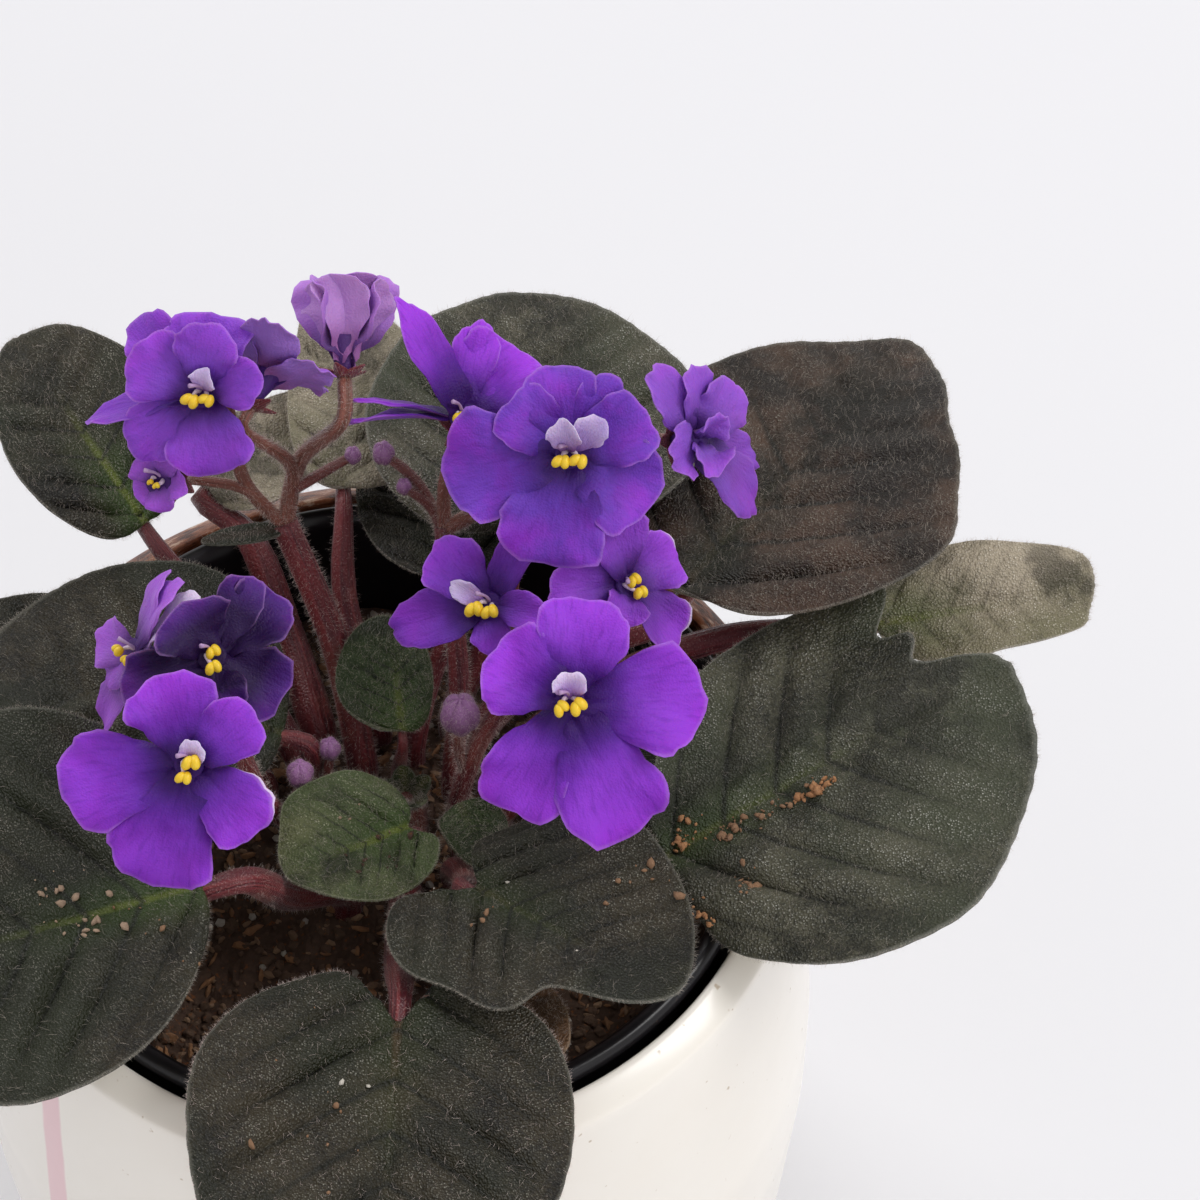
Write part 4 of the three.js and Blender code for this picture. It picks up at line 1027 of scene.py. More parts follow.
# %% All the blooms
bloom_forms = {
    "bloom_left_back": dict(
        at=[-24, 41, 190], face=[-110, 45],
        petals=[[160, 13, 11, 15], [88, 12, 10, 25], [200, 22, 7, -8, 55, 0.1], [228, 16, 11, 0, 0, 0],
                [288, 13, 13, 5]],
        petaloids=[[28, 12, 8, 30], [80, 6, 4, 50], [148, 17, 9, -5], [97, 13, 13, -5]],
        tone=(0.5, 0.1, 0.0), frill=1.3, reflex=0.07),
    "bloom_left_back_turned": dict(
        at=[-14, 45, 188], face=[60, 15], anthers=0.9,
        petals=[[20, 10, 9, 25], [92, 13, 10, 25, 0, 0], [164, 12, 9, 25, 0, 0], [236, 12, 10, 30, 0, 0],
                [308, 9, 9, 30]],
        # its violet-blue is its own; its pale tone is partly painted light, for the light falling through
        # its petals from behind
        tone=(0.7, 0.4, 0), frill=1.3, point=0.3, set_back=4),
    "bloom_top_pale": dict(
        at=[-1, 48, 192], face=[85, 28], reflex=-0.05, sunk=3.5, anthers=0,
        petals=[[55, 14, 13, 69], [125, 14, 13, 69], [200, 15, 15, 69], [275, 16, 16, 71],
                [342, 15, 14, 71]],
        tone=(0.05, 0.82, 0), frill=1.1),
    "bloom_back_centre": dict(
        at=[17, 36, 186], face=[-80, 75], anthers=0.9,
        petals=[[36, 16, 16, 5], [106, 21, 8, 28, 20, -0.1], [150, 19, 6, 0, 55, 0],
                [158, 20, 6, -8, 55, 0], [345, 10, 10]],
        petaloids=[[66, 17, 7, 10]], tone=(0.1, 0.0, 0), point=0.25),
    "bloom_centre_big": dict(
        at=[33, 22, 192], face=[-95, 52],
        petals=[[187, 20, 16, 0], [257, 18, 16, 0], [330, 15, 14, 5], [25, 14, 11, 15], [100, 14, 11, 10]],
        petaloids=[[50, 8.8, 5.5, 40, 25], [106, 8.4, 5, 60, -20], [140, 13, 10, 14], [60, 14, 7, 12]],
        tone=(0.75, 0.03, 0.12), frill=1.3, cupped=0.15),
    "bloom_right_back": dict(
        at=[54, 33, 180], face=[-40, 35], anthers=0,
        petals=[[98, 16, 8, 15], [22, 11, 10, 25], [310, 19, 8, -5, 0, 0], [286, 21, 9, 0, 0, 0.1],
                [160, 9, 9, 35]],
        petaloids=[[66, 13, 7, 25], [230, 7, 8, 50], [40, 7, 6, 60]], tone=(0.6, 0.25, 0), frill=1.8,
        lilac_under=0, point=0.3),
    "bloom_centre": dict(
        at=[19, 10, 170], face=[-120, 55],
        petals=[[150, 13, 10, 15], [212, 18, 9.5, -5, 0, 0.1], [80, 16, 6, 15, 0, -0.1], [12, 11, 6, 25],
                [300, 8, 6.5, 5]],
        petaloids=[[170, 7, 3.5, 30]], tone=(0.45, 0.05, 0.05), point=0.4, cupped=0.24),
    "bloom_right": dict(
        at=[41, 11, 172], face=[-50, 45], anthers=1.1,
        petals=[[155, 14, 12, 5], [85, 14, 10, 20], [0, 11, 10, 10], [285, 15, 9, 0], [215, 7, 8, 20]],
        tone=(0.2, 0.12, 0), point=0.35, cupped=0.3, pale_rims={1: 20, 2: 0, 3: 40}, anther_turn=80),
    "bloom_front_big": dict(
        at=[30, -14, 176], face=[-94, 54],
        petals=[[78, 16, 13.5, 10], [150, 14, 13.5, 8], [0, 21, 15.5, 0], [240, 21, 13, -5],
                [293, 24, 15.5, -5]],
        petaloids=[[90, 6, 5, 50]], tone=(0.25, 0.0, 0), notches={3: 0.12, 0: 0.05}, anther_turn=8,
        frill=1.7),
    "bloom_left_big": dict(
        at=[-29, -21, 176], face=[-100, 52],
        petals=[[110, 14, 13, 10], [42, 13, 9.5, 15], [195, 21, 14, 0], [255, 21, 15, -5],
                [320, 15, 11, 5]],
        petaloids=[[70, 5, 4, 50]], tone=(0.3, 0.0, 0.06), notches={3: 0.05}, frill=1.7,
        pale_rims={4: 60}, anther_turn=62),
    "bloom_left_dark": dict(
        at=[-25, -1, 176], face=[-85, 65],
        petals=[[195, 15, 9, 0], [120, 9, 12, 25], [35, 15, 10, 0], [322, 13, 11, 0], [265, 9, 10, 10]],
        petaloids=[[55, 14, 7, 15]], tone=(0.6, 0.0, 0.85), frill=2.2, cupped=0.26, anther_turn=75),
    "bloom_left_pale": dict(
        at=[-37, 6, 169], face=[195, 35], anthers=1.1,
        petals=[[118, 14, 7, 5, -20], [101, 15, 7, 5, -15], [216, 10, 8, 20], [275, 17, 7, 0],
                [250, 9, 8, 10]],
        petaloids=[[84, 17, 6, 5, -20]], lilac_under=20, tone=(0.1, 0.4, 0), point=0.3),
    "bud_opening": dict(
        at=[-32, 35, 176], face=[-130, 45], anthers=0.6, piece="flower_bud_opening",
        petals=[[90, 5, 5, 22], [162, 5, 5, 22], [234, 5, 5, 20], [306, 5, 5, 20], [18, 5, 5, 22]],
        tone=(0.0, 0.3, 0.1)),
}
for name, form in bloom_forms.items():
    grow_bloom(name, form)
print("blooms:", len(bloom_forms))

# %% [markdown]
# Pollen sacs are bright yellow, smooth and slightly waxy, with a fine furrow along each lobe. Buds have
# the same plump form, so one helper makes both: a ball of rings, grooved along its length.

# %% Pollen and plump lobes
tree, shader = finish("pollen_sac", 0.4, subsurface_weight=0.1, subsurface_scale=0.001)
across = attribute(tree, "place")[1]
colour = mixed(tree, grain(tree, 700), (232, 184, 20), (250, 218, 60))
# painted shade: darker yellow along the furrow of each lobe
colour = mixed(tree, soft_mask(tree, across, 0.12, 0.0), colour, (196, 140, 20))
dress(tree, shader, colour, grain(tree, 1800), 0.0001, 0.4)

tree, shader = finish("filament", 0.45)
colour = mixed(tree, grain(tree, 500), (206, 180, 206), (236, 220, 226))
dress(tree, shader, mixed(tree, attribute(tree, "tone")[1], colour, (150, 96, 176)))


def lump(piece, centre, radii, turned, material, spokes, rings, bumps, ridges=2):
    lat = np.linspace(-math.pi / 2, math.pi / 2, rings + 1)[1:-1]
    lon = np.arange(spokes) * ROUND / spokes
    lat, lon = np.repeat(lat, spokes), np.tile(lon, rings - 1)
    shape = np.stack([np.cos(lat) * np.cos(lon), np.cos(lat) * np.sin(lon), np.sin(lat)], 1)
    shape = np.concatenate([shape, [[0, 0, -1], [0, 0, 1]]])
    furrow = np.append(np.abs(np.cos(0.5 * ridges * lon)), [1, 1])
    swell = 1 + bumps * (furrow - 0.6)
    points = (shape * swell[:, None] * radii) @ turned.T + centre
    walls, caps = closed_tube(rings - 1, spokes)
    place = np.stack([shape[:, 2] * 0.5 + 0.5, furrow, np.zeros(len(shape))], 1)
    piece.add(points, [walls, caps], material, place)
    return points, unit(points - centre), walls


print("finishes so far:", len(bpy.data.materials))

# %% [markdown]
# In the middle of a bloom two pairs of plump yellow lobes hold together at their tips, on short pale
# filaments, beside a thin style.

# %% Grow the anthers
ANTHER_SIZE = 1.3


def grow_anthers(name, form):
    size = form.get("anthers", ANTHER_SIZE)
    axes, at = bloom_frame(form)
    piece = Piece(form.get("piece", name).replace("bloom", "pollen").replace("flower", "pollen"))

    def in_world(*points):
        return (np.array(points) @ axes.T + at).tolist()

    pair = turn_z(form.get("anther_turn", piece.random.uniform(-25, 25)))
    for side in (-1, 1):
        lean = piece.random.uniform(-40, 40)
        grown = size * piece.random.uniform(0.85, 1.1)
        centre = pair @ np.array([1.02 * size * side, piece.random.uniform(-0.5, 0.2), 0])
        centre += [0, -0.7 * size, 0]
        centre[2] = 1.3 + 0.9 * size + piece.random.uniform(-0.3, 0.5)
        for half in (-1, 1):
            offset = turn_z(lean) @ np.array([0.42 * grown * half, 0.15 * grown * half, 0])
            turned = axes @ turn_z(lean + 22 * half) @ turn_x(piece.random.uniform(-20, 20))
            lump(piece, (centre + offset) @ axes.T + at, np.array([0.62, 0.95, 0.78]) * grown, turned,
                 "pollen_sac", 18, 12, 0.06)
        stem(piece, in_world([0.5 * side, 0.4, 0.4], [0.9 * side, 0.2, 1.4], centre - [0, 0, 0.4 * size]),
             [0.42, 0.3], sides=8, step=0.5, hairs=0, material="filament")
    stem(piece, in_world([0, 0.8, 0.6], [-0.4, 1.3, 2.2], [-1.5, 1.2, 3.9]), [0.32, 0.22, 0.4], sides=8,
         step=0.5, hairs=0, material="filament", tone=np.array([0, 0.6, 0]))
    piece.made("anther", f"{name}_anthers")


with_anthers = {name: form for name, form in bloom_forms.items() if form.get("anthers", ANTHER_SIZE)}
for name, form in with_anthers.items():
    grow_anthers(name, form)
print("blooms with anthers:", len(with_anthers))

# %% [markdown]
# A calyx is five narrow sepals behind a bloom or round the lower half of a bud, hairy on their outside.
# Bracts and the crown's tiny leaves are plain small blades, made with the leaves' own formulas.

# %% Sepals and small leaves
CALYX_BACK = 6


def behind(name, distance):
    axes, at = bloom_frame(bloom_forms[name])
    return (at - axes[:, 2] * distance).tolist()


def add_sepals(piece, axes, at, back, length, width, open_angle, curl=0.0):
    for i in range(5):
        turned = axes @ turn_z(72 * i) @ turn_y(-open_angle)

        def place(rho, turn):
            x = length * (0.5 + 0.5 * rho * np.cos(turn))
            y = 0.5 * width * rho * np.sin(turn) * (1 - 0.55 * np.cos(turn))
            lift = 0.16 * width * (2 * y / width) ** 2 - 0.04 * x + curl * x * x / length
            return np.stack([x, y, lift], 1)

        def marks(rho, turn, middle):
            return np.stack([middle[:, 0] / 20, middle[:, 1], rho], 1)

        def to_world(points):
            return points @ turned.T + at - axes[:, 2] * back

        _, under, normals, quads, _ = blade(piece, place, 16, 4, 0.5, "stem_skin", "stem_skin", marks,
                                            to_world)
        hairy(piece, under, -normals, quads, 5.0, 0.9, 0.035)


def small_leaf(piece, form, turned, at, spokes, rings, thickness):
    def place(rho, turn):
        edge_x, edge_y = leaf_outline(form, turn)
        x, y = rho * edge_x, rho * edge_y
        return np.stack([x, y, leaf_height(form, x, y, rho, turn)], 1)

    def marks(rho, turn, middle):
        return np.stack([np.full(len(rho), 0.5), np.abs(middle[:, 1]), rho], 1)

    def to_world(points):
        return points @ turned.T + np.array(at, float)

    return blade(piece, place, spokes, rings, thickness, "leaf_face", "leaf_back", marks, to_world)


print("a calyx sits", CALYX_BACK, "mm behind its bloom")

# %% [markdown]
# Flower stalks. Each one rises from the soil and forks into thinner pedicels, one for each bloom or bud.
# They are the hairiest part of the plant. Buds are plum coloured below and paler at their tip, where the
# folded petals press through in five ridges.

# %% Grow a stalk
tree, shader = finish("bud_skin", 0.5, sheen_weight=0.15, sheen_roughness=0.35)
along, across, _ = attribute(tree, "place")
colour = mixed(tree, along, (82, 36, 58), (162, 112, 164))
# painted shade: the bud is darker in the furrows between its ridges
colour = mixed(tree, times(tree, soft_mask(tree, across, 0.4, 0.0), 0.3), colour, (110, 66, 104))
fuzz = with_down(tree, 2200.0, 0.8)
dress(tree, shader, mixed(tree, fuzz["Mask"], colour, (214, 196, 208)), fuzz["Height"], 0.0003, 0.5)


def add_pedicel(piece, start, bloom, width):
    back = COROLLA_TUBE + bloom_forms[bloom].get("set_back", 7)
    stem(piece, [*start, behind(bloom, back), behind(bloom, CALYX_BACK)], [1.25 * width, width], sides=10,
         step=1.2, hairs=3.6, tone=np.array([0.25, 0.5, 0.0]))
    axes, at = bloom_frame(bloom_forms[bloom])
    add_sepals(piece, axes, at, CALYX_BACK, 4.6, 2.2, 27)


def add_bud(piece, start, at, size):
    stem(piece, [*start, at], [1, 0.8], sides=8, step=1.2, hairs=5.0, tone=np.array([0.1, 0.7, 0.3]))
    axes, at = turn_z(40 * size), np.array(at, float)
    skin = lump(piece, at, np.array([size, size, 1.25 * size]), axes, "bud_skin", 40, 20, 0.12, ridges=5)
    hairy(piece, *skin, 5.0, 0.8, 0.026, tone=np.array([0, 1, 0]))
    add_sepals(piece, axes, at, 1.15 * size, 1.5 * size, 1.1 * size, 40, 0.55)


def grow_stalk(name, root, radius, path, branches, buds, bracts=()):
    piece = Piece(name.replace("stalk", "stem"), (0, 0.5, 0.1))
    stem(piece, [*rooted(*root), *path], [radius, 0.8 * radius], sides=16, hairs=2.6,
         tone=np.array([0, 0.5, 0.15]))
    for start, bloom, width in branches:
        add_pedicel(piece, start, bloom, width)
    for start, at, size in buds:
        add_bud(piece, start, at, size)
    for at, heading, tilt, length in bracts:
        form = dict(length=length, left=2, right=2, lobe=0, wave=0)
        turned = turn_z(heading) @ turn_y(-tilt)
        upper, _, normals, quads, _ = small_leaf(piece, form, turned, at, 28, 8, 0.9)
        hairy(piece, upper, normals, quads, 4.0, 0.9)
    return piece.made("stalk", name)


print("bud skin:", len(tree.nodes), "nodes")

# %% [markdown]
# Each stalk with its root, its thickness, the points it rises through, and its branches: where each one
# starts, the bloom that it carries and how thick it is. Buds have their start, place and size, and bracts
# their place, heading, tilt and length.

# %% All the stalks
grow_stalk("stalk_back_left", [-3, 18], 2.8, [[-6, 30, 135], [-13, 40, 157]],
           [([[-13, 40, 156], [-19, 42, 166]], "bloom_left_back", 1),
            ([[-13, 40, 156], [-11, 43, 167]], "bloom_left_back_turned", 1),
            ([[-13, 40, 156], [-10, 44, 167]], "bloom_top_pale", 1.2),
            ([[-13, 40, 156], [-19, 41, 165]], "bud_opening", 0.8)],
           [([[-11, 42, 163]], [-1, 45, 167], 1.4)], [([-13, 39, 157], 190, 8, 14)])
grow_stalk("stalk_centre", [12, 12], 2, [[14, 20, 138], [13, 33, 162]],
           [([[13, 33, 161], [14, 36, 172]], "bloom_back_centre", 1),
            ([[13, 33, 161], [24, 29, 174]], "bloom_centre_big", 1),
            ([[13, 33, 161], [30, 36, 170]], "bloom_right_back", 1)],
           [([[13, 33, 161], [9, 38, 168]], [4, 41, 172], 1.8),
            ([[13, 33, 161], [11, 35, 165]], [7, 37, 168], 1.3)])
grow_stalk("stalk_right", [12, 5], 1.8, [[16, 5, 138], [22, 4, 155]],
           [([[22, 4, 154], [22, 7, 160]], "bloom_centre", 1),
            ([[22, 4, 154], [32, 8, 162]], "bloom_right", 1),
            ([[22, 4, 154], [27, -2, 164]], "bloom_front_big", 1)],
           [([[14, 5, 132], [13, 4, 140]], [13.5, 3.5, 150], 3.2)])
grow_stalk("stalk_left", [-11, -1], 1.8, [[-19, -4, 141], [-22, -6, 158]],
           [([[-22, -6, 157], [-26, -11, 166]], "bloom_left_big", 1),
            ([[-22, -6, 157], [-23, 0, 166]], "bloom_left_dark", 1),
            ([[-22, -6, 157], [-23, 4, 159]], "bloom_left_pale", 1)],
           [([[-11, -1, 120], [-12, 1, 132]], [-13, 1, 140], 2.2),
            ([[-11, -1, 120], [-9, 4, 131]], [-8, 7, 138], 1.8)])
print("stalks:", sum(name.startswith("stem_") for name, _ in made_pieces))

# %% [markdown]
# The crown is the short thick stem in the middle, with tiny furry leaves standing round its top.

# %% Crown
CROWN = [4, 6]
crown = Piece("crown_shoots", (0.5, 0.4, 0.3))
stem(crown, [*rooted(*CROWN), [*CROWN, SOIL_TOP + 12]], [4.4, 3.08], sides=20, hairs=2.5,
     tone=np.array([0.1, 0.5, 0.6]))
shoot = dict(length=6, left=2.2, right=2.2, lobe=0, wave=0, cup=0.3)
for i in range(5):
    turned = turn_z(72 * (i + 0.3)) @ turn_y(-50)
    foot = [*CROWN, SOIL_TOP + 11]
    upper, under, normals, quads, _ = small_leaf(crown, shoot, turned, foot, 24, 7, 1.0)
    hairy(crown, upper, normals, quads, 9.0, 1.2)
    hairy(crown, under, -normals, quads, 9.0, 1.2)
crown.made("stalk", "crown")
print("crown:", made_pieces[-1][1], "triangles")

# %% [markdown]
# The soil's surface is the solid's mound with finer lumps. It fills the nursery pot down to the floor, so
# its radius at the top follows the pot's tapered wall.

# %% Soil surface
POT_FLOOR, POT_NECK = 13.3, 118
FOOT_RADIUS, NECK_RADIUS = 45, 57.5
WALL_AND_PLAY = 1.7
SOIL_ROUND = 150
SOIL_BOTTOM = 14.8
SOIL_FOOT_RADIUS = 43.4


def soil_height(x, y):
    mound = 4 * np.exp(-((x - CROWN[0]) ** 2 + (y - CROWN[1]) ** 2) / 700)
    lumps = 0.9 * np.sin(0.31 * x + 0.5 * np.sin(0.23 * y)) * np.cos(0.27 * y + 1.1)
    return SOIL_TOP + mound + lumps + 0.6 * np.sin(0.71 * x - 0.33 * y)


soil = Piece("potting_soil")
widening = (NECK_RADIUS - FOOT_RADIUS) * (SOIL_TOP - POT_FLOOR) / (POT_NECK - POT_FLOOR)
soil_radius = FOOT_RADIUS + widening - WALL_AND_PLAY
rho, turn, fan, quads = disc(SOIL_ROUND, 44)
x, y = soil_radius * rho * np.cos(turn), soil_radius * rho * np.sin(turn)
rough = soil.random.normal(size=len(x)) * 0.35 * np.sqrt(rho)
top = np.stack([x, y, soil_height(x, y) + rough], 1)
soil.add(top, [fan, quads], "peat")
bottom = ring(SOIL_FOOT_RADIUS, SOIL_BOTTOM, SOIL_ROUND)
spoke = np.arange(SOIL_ROUND)
after = (spoke + 1) % SOIL_ROUND
wall = np.stack([spoke, spoke + SOIL_ROUND, after + SOIL_ROUND, after], 1)
base = np.stack([np.full(SOIL_ROUND, 2 * SOIL_ROUND), after + SOIL_ROUND, spoke + SOIL_ROUND], 1)
soil.add(np.concatenate([top[-SOIL_ROUND:], bottom, [[0, 0, SOIL_BOTTOM]]]), [wall, base], "peat")
print("the soil's surface is", round(2 * soil_radius, 1), "mm across")

# %% [markdown]
# Crumbs of every size lie on the soil, most of them dark, some lighter, and a few orange or white.

# %% Crumbs on the soil
def strewn(count, smallest, largest, flat, tone):
    radius = (soil_radius - largest - 0.5) * np.sqrt(soil.random.random(count))
    angle = soil.random.uniform(0, ROUND, count)
    sizes = soil.random.uniform(smallest, largest, count)
    x, y = radius * np.cos(angle), radius * np.sin(angle)
    centres = np.stack([x, y, soil_height(x, y) + 0.3 * sizes], 1)
    crumbs(soil, centres, sizes, flat, np.tile(tone, (count, 1)) * soil.random.uniform(0.5, 1, (count, 1)))


kinds = [(1500, 0.35, 1.2, (1, 1, 0.8), (0.2, 0, 0)), (1000, 0.25, 0.9, (1.4, 0.9, 0.6), (1, 0.1, 0)),
         (300, 0.4, 1.2, (1.7, 0.8, 0.45), (0.2, 0.9, 0)), (140, 0.4, 1.0, (1, 1, 0.9), (0.2, 0, 1)),
         (16, 1.2, 1.9, (1.6, 0.9, 0.7), (0.4, 1, 0))]
for kind in kinds:
    strewn(*kind)
soil.made("soil", "soil", smooth=False)
print("soil crumbs:", sum(kind[0] for kind in kinds))

# %% [markdown]
# Pots are turned profiles. The solids' profile has corners, and cutting them off twice rounds them without
# leaving the outline. The back of the cover pot's rim has a finish of its own, so the faces there are
# sorted out by their place.

# %% Turn a profile
def rounded(profile):
    points = np.array(profile, float)
    for _ in range(2):
        cut = [points[0]]
        for a, b in zip(points, points[1:]):
            share = min(0.25, 1.2 / max(np.linalg.norm(b - a), 1e-6))
            cut += [a + (b - a) * share, b - (b - a) * share]
        cut.append(points[-1])
        points = np.array(cut)
    return points


def lathe(piece, profile, sides, material, back_material=None):
    inner = profile[(profile[:, 0] > 1e-6)]
    ends = [[0, 0, profile[0, 1]], [0, 0, profile[-1, 1]]]
    points = np.concatenate([*(ring(r, z, sides) for r, z in inner), ends])
    walls, caps = closed_tube(len(inner), sides)
    at_back = (points[walls].mean(1) > [-1e3, 0, RIM_START]).all(1) & (back_material is not None)
    piece.add(points, [walls[~at_back], caps], material)
    if at_back.any():
        piece.add(points, [walls[at_back]], back_material)


RIM_START = 128.6
print("a square corner is cut into", len(rounded([[0, 0], [9, 0], [9, 9]])) - 2, "points")

# %% [markdown]
# The cover pot is slip-cast and glazed cream, with a few iron specks and a thin pink stripe down its side,
# which ends below the rim. A brown run of glaze, streaked down the wall, lies inside the back of the rim.

# %% Glaze and plastic
cream, given, result = node_group("cream_base", {"Specks From": 0.70, "Specks To": 0.78}, ["Colour"],
                                  "NodeSocketColor")
specks = soft_mask(cream, grain(cream, 420, 2), given["Specks From"], given["Specks To"])
colour = mixed(cream, grain(cream, 25, 5), (245, 238, 227), (252, 248, 241))
cream.links.new(mixed(cream, specks, colour, (206, 190, 170)), result["Colour"])

tree, shader = finish("cream_glaze", 0.26, coat_weight=0.25, coat_roughness=0.12, specular_ior_level=0.5)
where = parted(tree, on_object(tree))
bearing = times_plus(tree, grain(tree, 60, 3), 0.012, maths(tree, "ARCTAN2", where["Y"], where["X"]))
stripe = times(tree, soft_mask(tree, bearing, -2.545, -2.535), soft_mask(tree, bearing, -2.465, -2.475))
stripe = times(tree, stripe, soft_mask(tree, where["Z"], 0.1285, 0.127))
colour = mixed(tree, times(tree, stripe, 0.85), placed(tree, cream, 0.70, 0.78)[0], (240, 196, 204))
dress(tree, shader, colour, grain(tree, 30, 3), 0.0004, 0.3)

# painted reflection and shade: reddish-brown streaks at the back of the rim stand for the red stalks
# mirrored in the shaded glaze, and the pale streaks are painted highlights
tree, shader = finish("rim_painted_reflection", 0.28, specular_ior_level=0.35)
back = soft_mask(tree, parted(tree, on_object(tree))["Y"], 0.002, 0.022)
tall = node(tree, "ShaderNodeMapping", {"Vector": on_object(tree), "Scale": (1, 1, 7)}).outputs[0]
reflection_streaks = noise(tree, tall, 190, 5, 0.7)
painted_reflection = mixed(tree, soft_mask(tree, reflection_streaks, 0.35, 0.6), (70, 30, 18), (168, 104, 72))
painted_reflection = mixed(tree, soft_mask(tree, reflection_streaks, 0.56, 0.66), painted_reflection, (226, 196, 172))
dress(tree, shader, mixed(tree, back, placed(tree, cream, 0.70, 0.78)[0], painted_reflection), reflection_streaks, 0.0005, 0.4)

tree, shader = finish("black_pot", 0.24, specular_ior_level=0.38)
colour = mixed(tree, grain(tree, 300, 5), (14, 13, 15), (30, 28, 32))
colour = mixed(tree, soft_mask(tree, grain(tree, 500, 4), 0.66, 0.78), colour, (70, 58, 50))
worn = {"Value": grain(tree, 120, 5), "To Min": 0.2, "To Max": 0.42}
tree.links.new(node(tree, "ShaderNodeMapRange", worn).outputs[0], shader.inputs["Roughness"])
dress(tree, shader, colour, grain(tree, 500, 3), 0.0002, 0.15)
print("finishes in all:", len(bpy.data.materials))

# %% [markdown]
# Both profiles start in the middle of the underside, run up the outside and come back down the inside.
# The nursery pot is thin black plastic with a glossy rolled lip.

# %% Both pots
glazed = Piece("glazed_pot")
lathe(glazed, rounded([[0, 0], [60, 0], [65, 3], [67.6, 12], [70, 36], [72, 60], [72.2, 78], [70.8, 104],
                       [69, 129.2], [68.3, 130], [64.3, 132.4], [63.4, 131.4], [65.4, 100], [65.4, 60],
                       [61, 24], [52, 13], [0, 13]]), 180, "cream_glaze", "rim_painted_reflection")
glazed.made("glaze", "cover_pot")

plastic = Piece("plastic_pot")
lathe(plastic, rounded([[0, POT_FLOOR], [FOOT_RADIUS, POT_FLOOR], [NECK_RADIUS, POT_NECK], [59.1, 119],
                        [59.7, 129.6], [62.2, 131], [61.9, 133.1], [60.6, 134], [58.3, 132.4],
                        [56.3, POT_NECK], [43.8, 14.5], [0, 14.5]]), 160, "black_pot")
plastic_pot = plastic.made("black_plastic", "nursery_pot")
print("pots:", [round(n) for _, n in made_pieces[-2:]], "triangles")

# %% [markdown]
# The nursery pot's floor has six round holes. A Boolean takes six short rods out of it, and is applied at
# once, so that no helper object stays behind.

# %% Drill the floor
HOLES, HOLE_SIDES = 6, 28
HOLE_RADIUS, HOLES_OUT = 4, 30
ROD_ENDS = (10.3, 16.3)
rods, rod_faces = [], []
for i in range(HOLES):
    bearing = ROUND * (i + 0.5) / HOLES
    centre = np.array([HOLES_OUT * math.cos(bearing), HOLES_OUT * math.sin(bearing), 0])
    rods += [ring(HOLE_RADIUS, z, HOLE_SIDES) + centre for z in ROD_ENDS]
    first = 2 * HOLE_SIDES * i
    spoke = np.arange(HOLE_SIDES)
    after = (spoke + 1) % HOLE_SIDES
    rod_faces += (first + np.stack([spoke, after, after + HOLE_SIDES, spoke + HOLE_SIDES], 1)).tolist()
    rod_faces += [(first + spoke[::-1]).tolist(), (first + HOLE_SIDES + spoke).tolist()]
drill_mesh = bpy.data.meshes.new("drills")
drill_mesh.from_pydata((np.concatenate(rods) * MM).tolist(), [], rod_faces)
drills = bpy.data.objects.new("drills", drill_mesh)
bpy.context.scene.collection.objects.link(drills)
drilling = plastic_pot.modifiers.new("drain_holes", "BOOLEAN")
drilling.operation, drilling.solver, drilling.object = "DIFFERENCE", "EXACT", drills
bpy.context.view_layer.update()
seen = plastic_pot.evaluated_get(bpy.context.evaluated_depsgraph_get())
drilled = bpy.data.meshes.new_from_object(seen)
plastic_pot.modifiers.clear()
plastic_pot.data = drilled
bpy.data.objects.remove(drills)
print("the nursery pot has", len(drilled.polygons), "faces with its six holes")
print("made", len(made_pieces), "pieces with", sum(n for _, n in made_pieces), "triangles, the largest",
      max(made_pieces, key=lambda made: made[1]))

# %% [markdown]
# The stage is a plain pale floor that runs far out, under an even pale sky for soft light from all sides.
# A soft lamp stands high on the right, a wider one behind on the left, which skims over the leaves, and a
# weak one in front fills the shade on the pot.

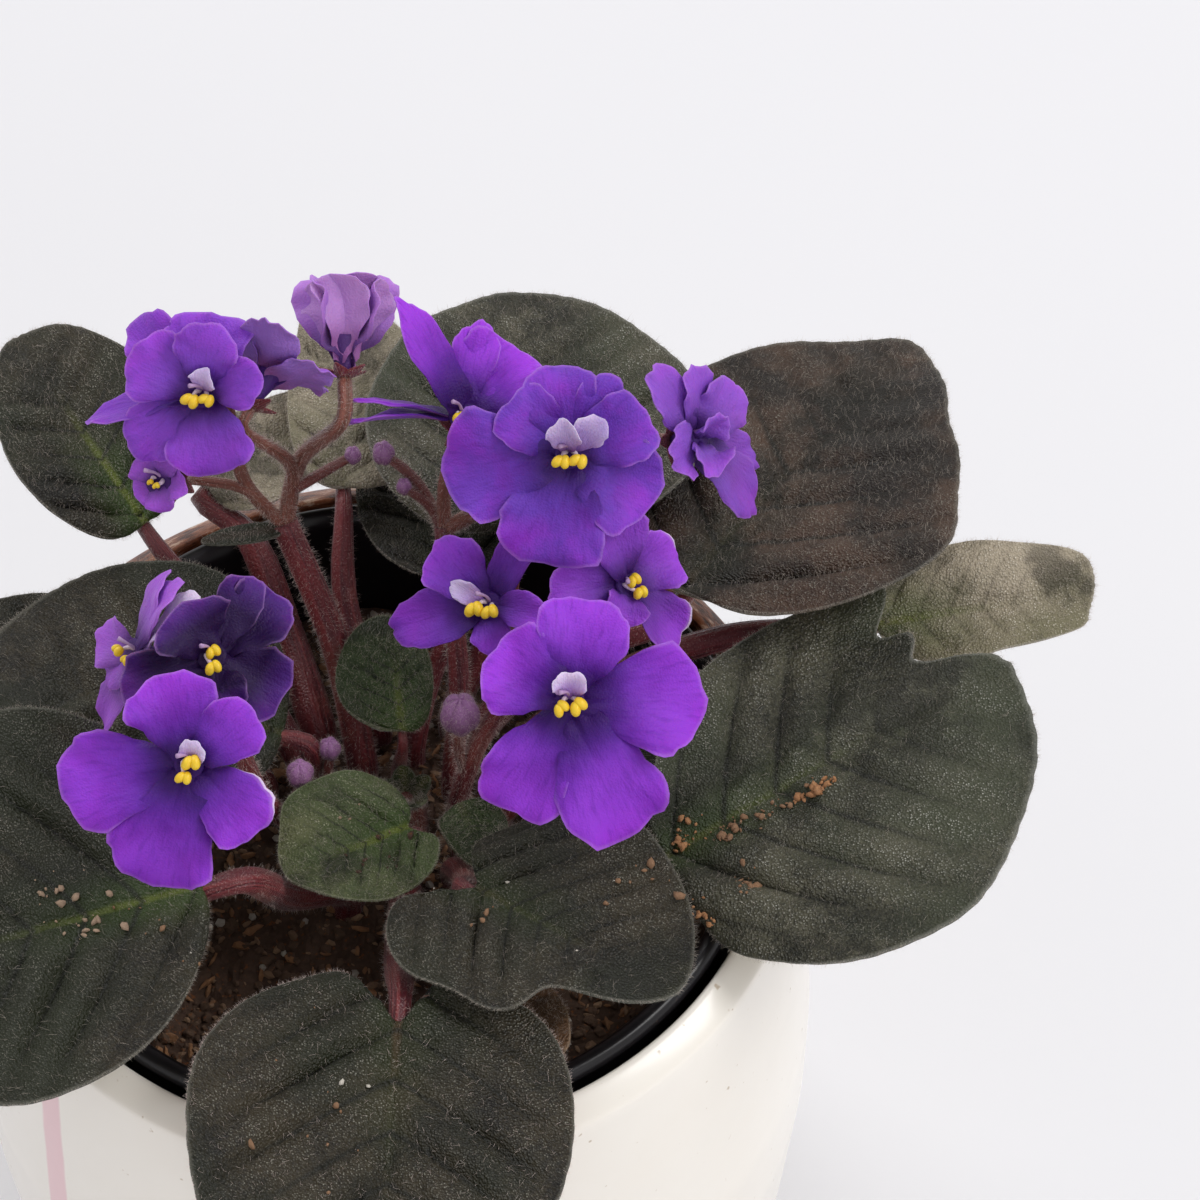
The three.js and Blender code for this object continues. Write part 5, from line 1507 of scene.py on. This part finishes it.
# %% Floor and light
FLOOR_REACH = 6
reach = [(-FLOOR_REACH, -FLOOR_REACH, 0), (FLOOR_REACH, -FLOOR_REACH, 0), (FLOOR_REACH, FLOOR_REACH, 0),
         (-FLOOR_REACH, FLOOR_REACH, 0)]
floor_mesh = bpy.data.meshes.new("floor")
floor_mesh.from_pydata(reach, [], [(0, 1, 2, 3)])
floor = bpy.data.objects.new("floor", floor_mesh)
bpy.context.scene.collection.objects.link(floor)
tree, shader = finish("floor_paper", 0.9, specular_ior_level=0.1)
dress(tree, shader, mixed(tree, grain(tree, 3, 2), (227, 227, 231), (231, 231, 235)))
floor_mesh.materials.append(bpy.data.materials["floor_paper"])

scene = bpy.context.scene
scene.view_settings.view_transform = "Standard"
world = bpy.data.worlds.new("pale_sky")
world.use_nodes = True
world.node_tree.nodes["Background"].inputs["Color"].default_value = (1.0, 0.985, 0.975, 1)
world.node_tree.nodes["Background"].inputs["Strength"].default_value = 0.66
scene.world = world


def lamp(name, at, towards, size, watts):
    light = bpy.data.lights.new(name, "AREA")
    light.shape = "DISK"
    light.size = size
    light.energy = watts
    placed = bpy.data.objects.new(name, light)
    scene.collection.objects.link(placed)
    placed.location = at
    way = np.array(towards, float) - np.array(at, float)
    placed.rotation_euler = (math.atan2(math.hypot(way[0], way[1]), -way[2]), 0, math.atan2(-way[0], way[1]))


lamp("soft_lamp", (1.3, -0.1, 1.7), (0, 0, 0.15), 0.9, 15)
lamp("back_lamp", (-0.9, 1.5, 1.6), (0, 0, 0.15), 1.2, 15)
lamp("fill_lamp", (0.7, -1.5, 0.9), (0, 0, 0.1), 1.2, 3)
print("lamps:", len(bpy.data.lights))

# %% [markdown]
# The camera looks down at the plant as the photograph does. Its place, tilt and lens were fitted to the
# edges of the two pots.

# %% Camera
LOOKING_DOWN = 52.77
TURNED_RIGHT = 4.81

camera = bpy.data.objects.new("camera", bpy.data.cameras.new("camera"))
scene.collection.objects.link(camera)
camera.location = (0, -0.42696, 0.74661)
camera.rotation_euler = (math.radians(90 - LOOKING_DOWN), 0, math.radians(-TURNED_RIGHT))
camera.data.sensor_width = 36
camera.data.lens = 136.35
scene.camera = camera
print("the camera stands", round(camera.location.length, 3), "m from the pot's foot")
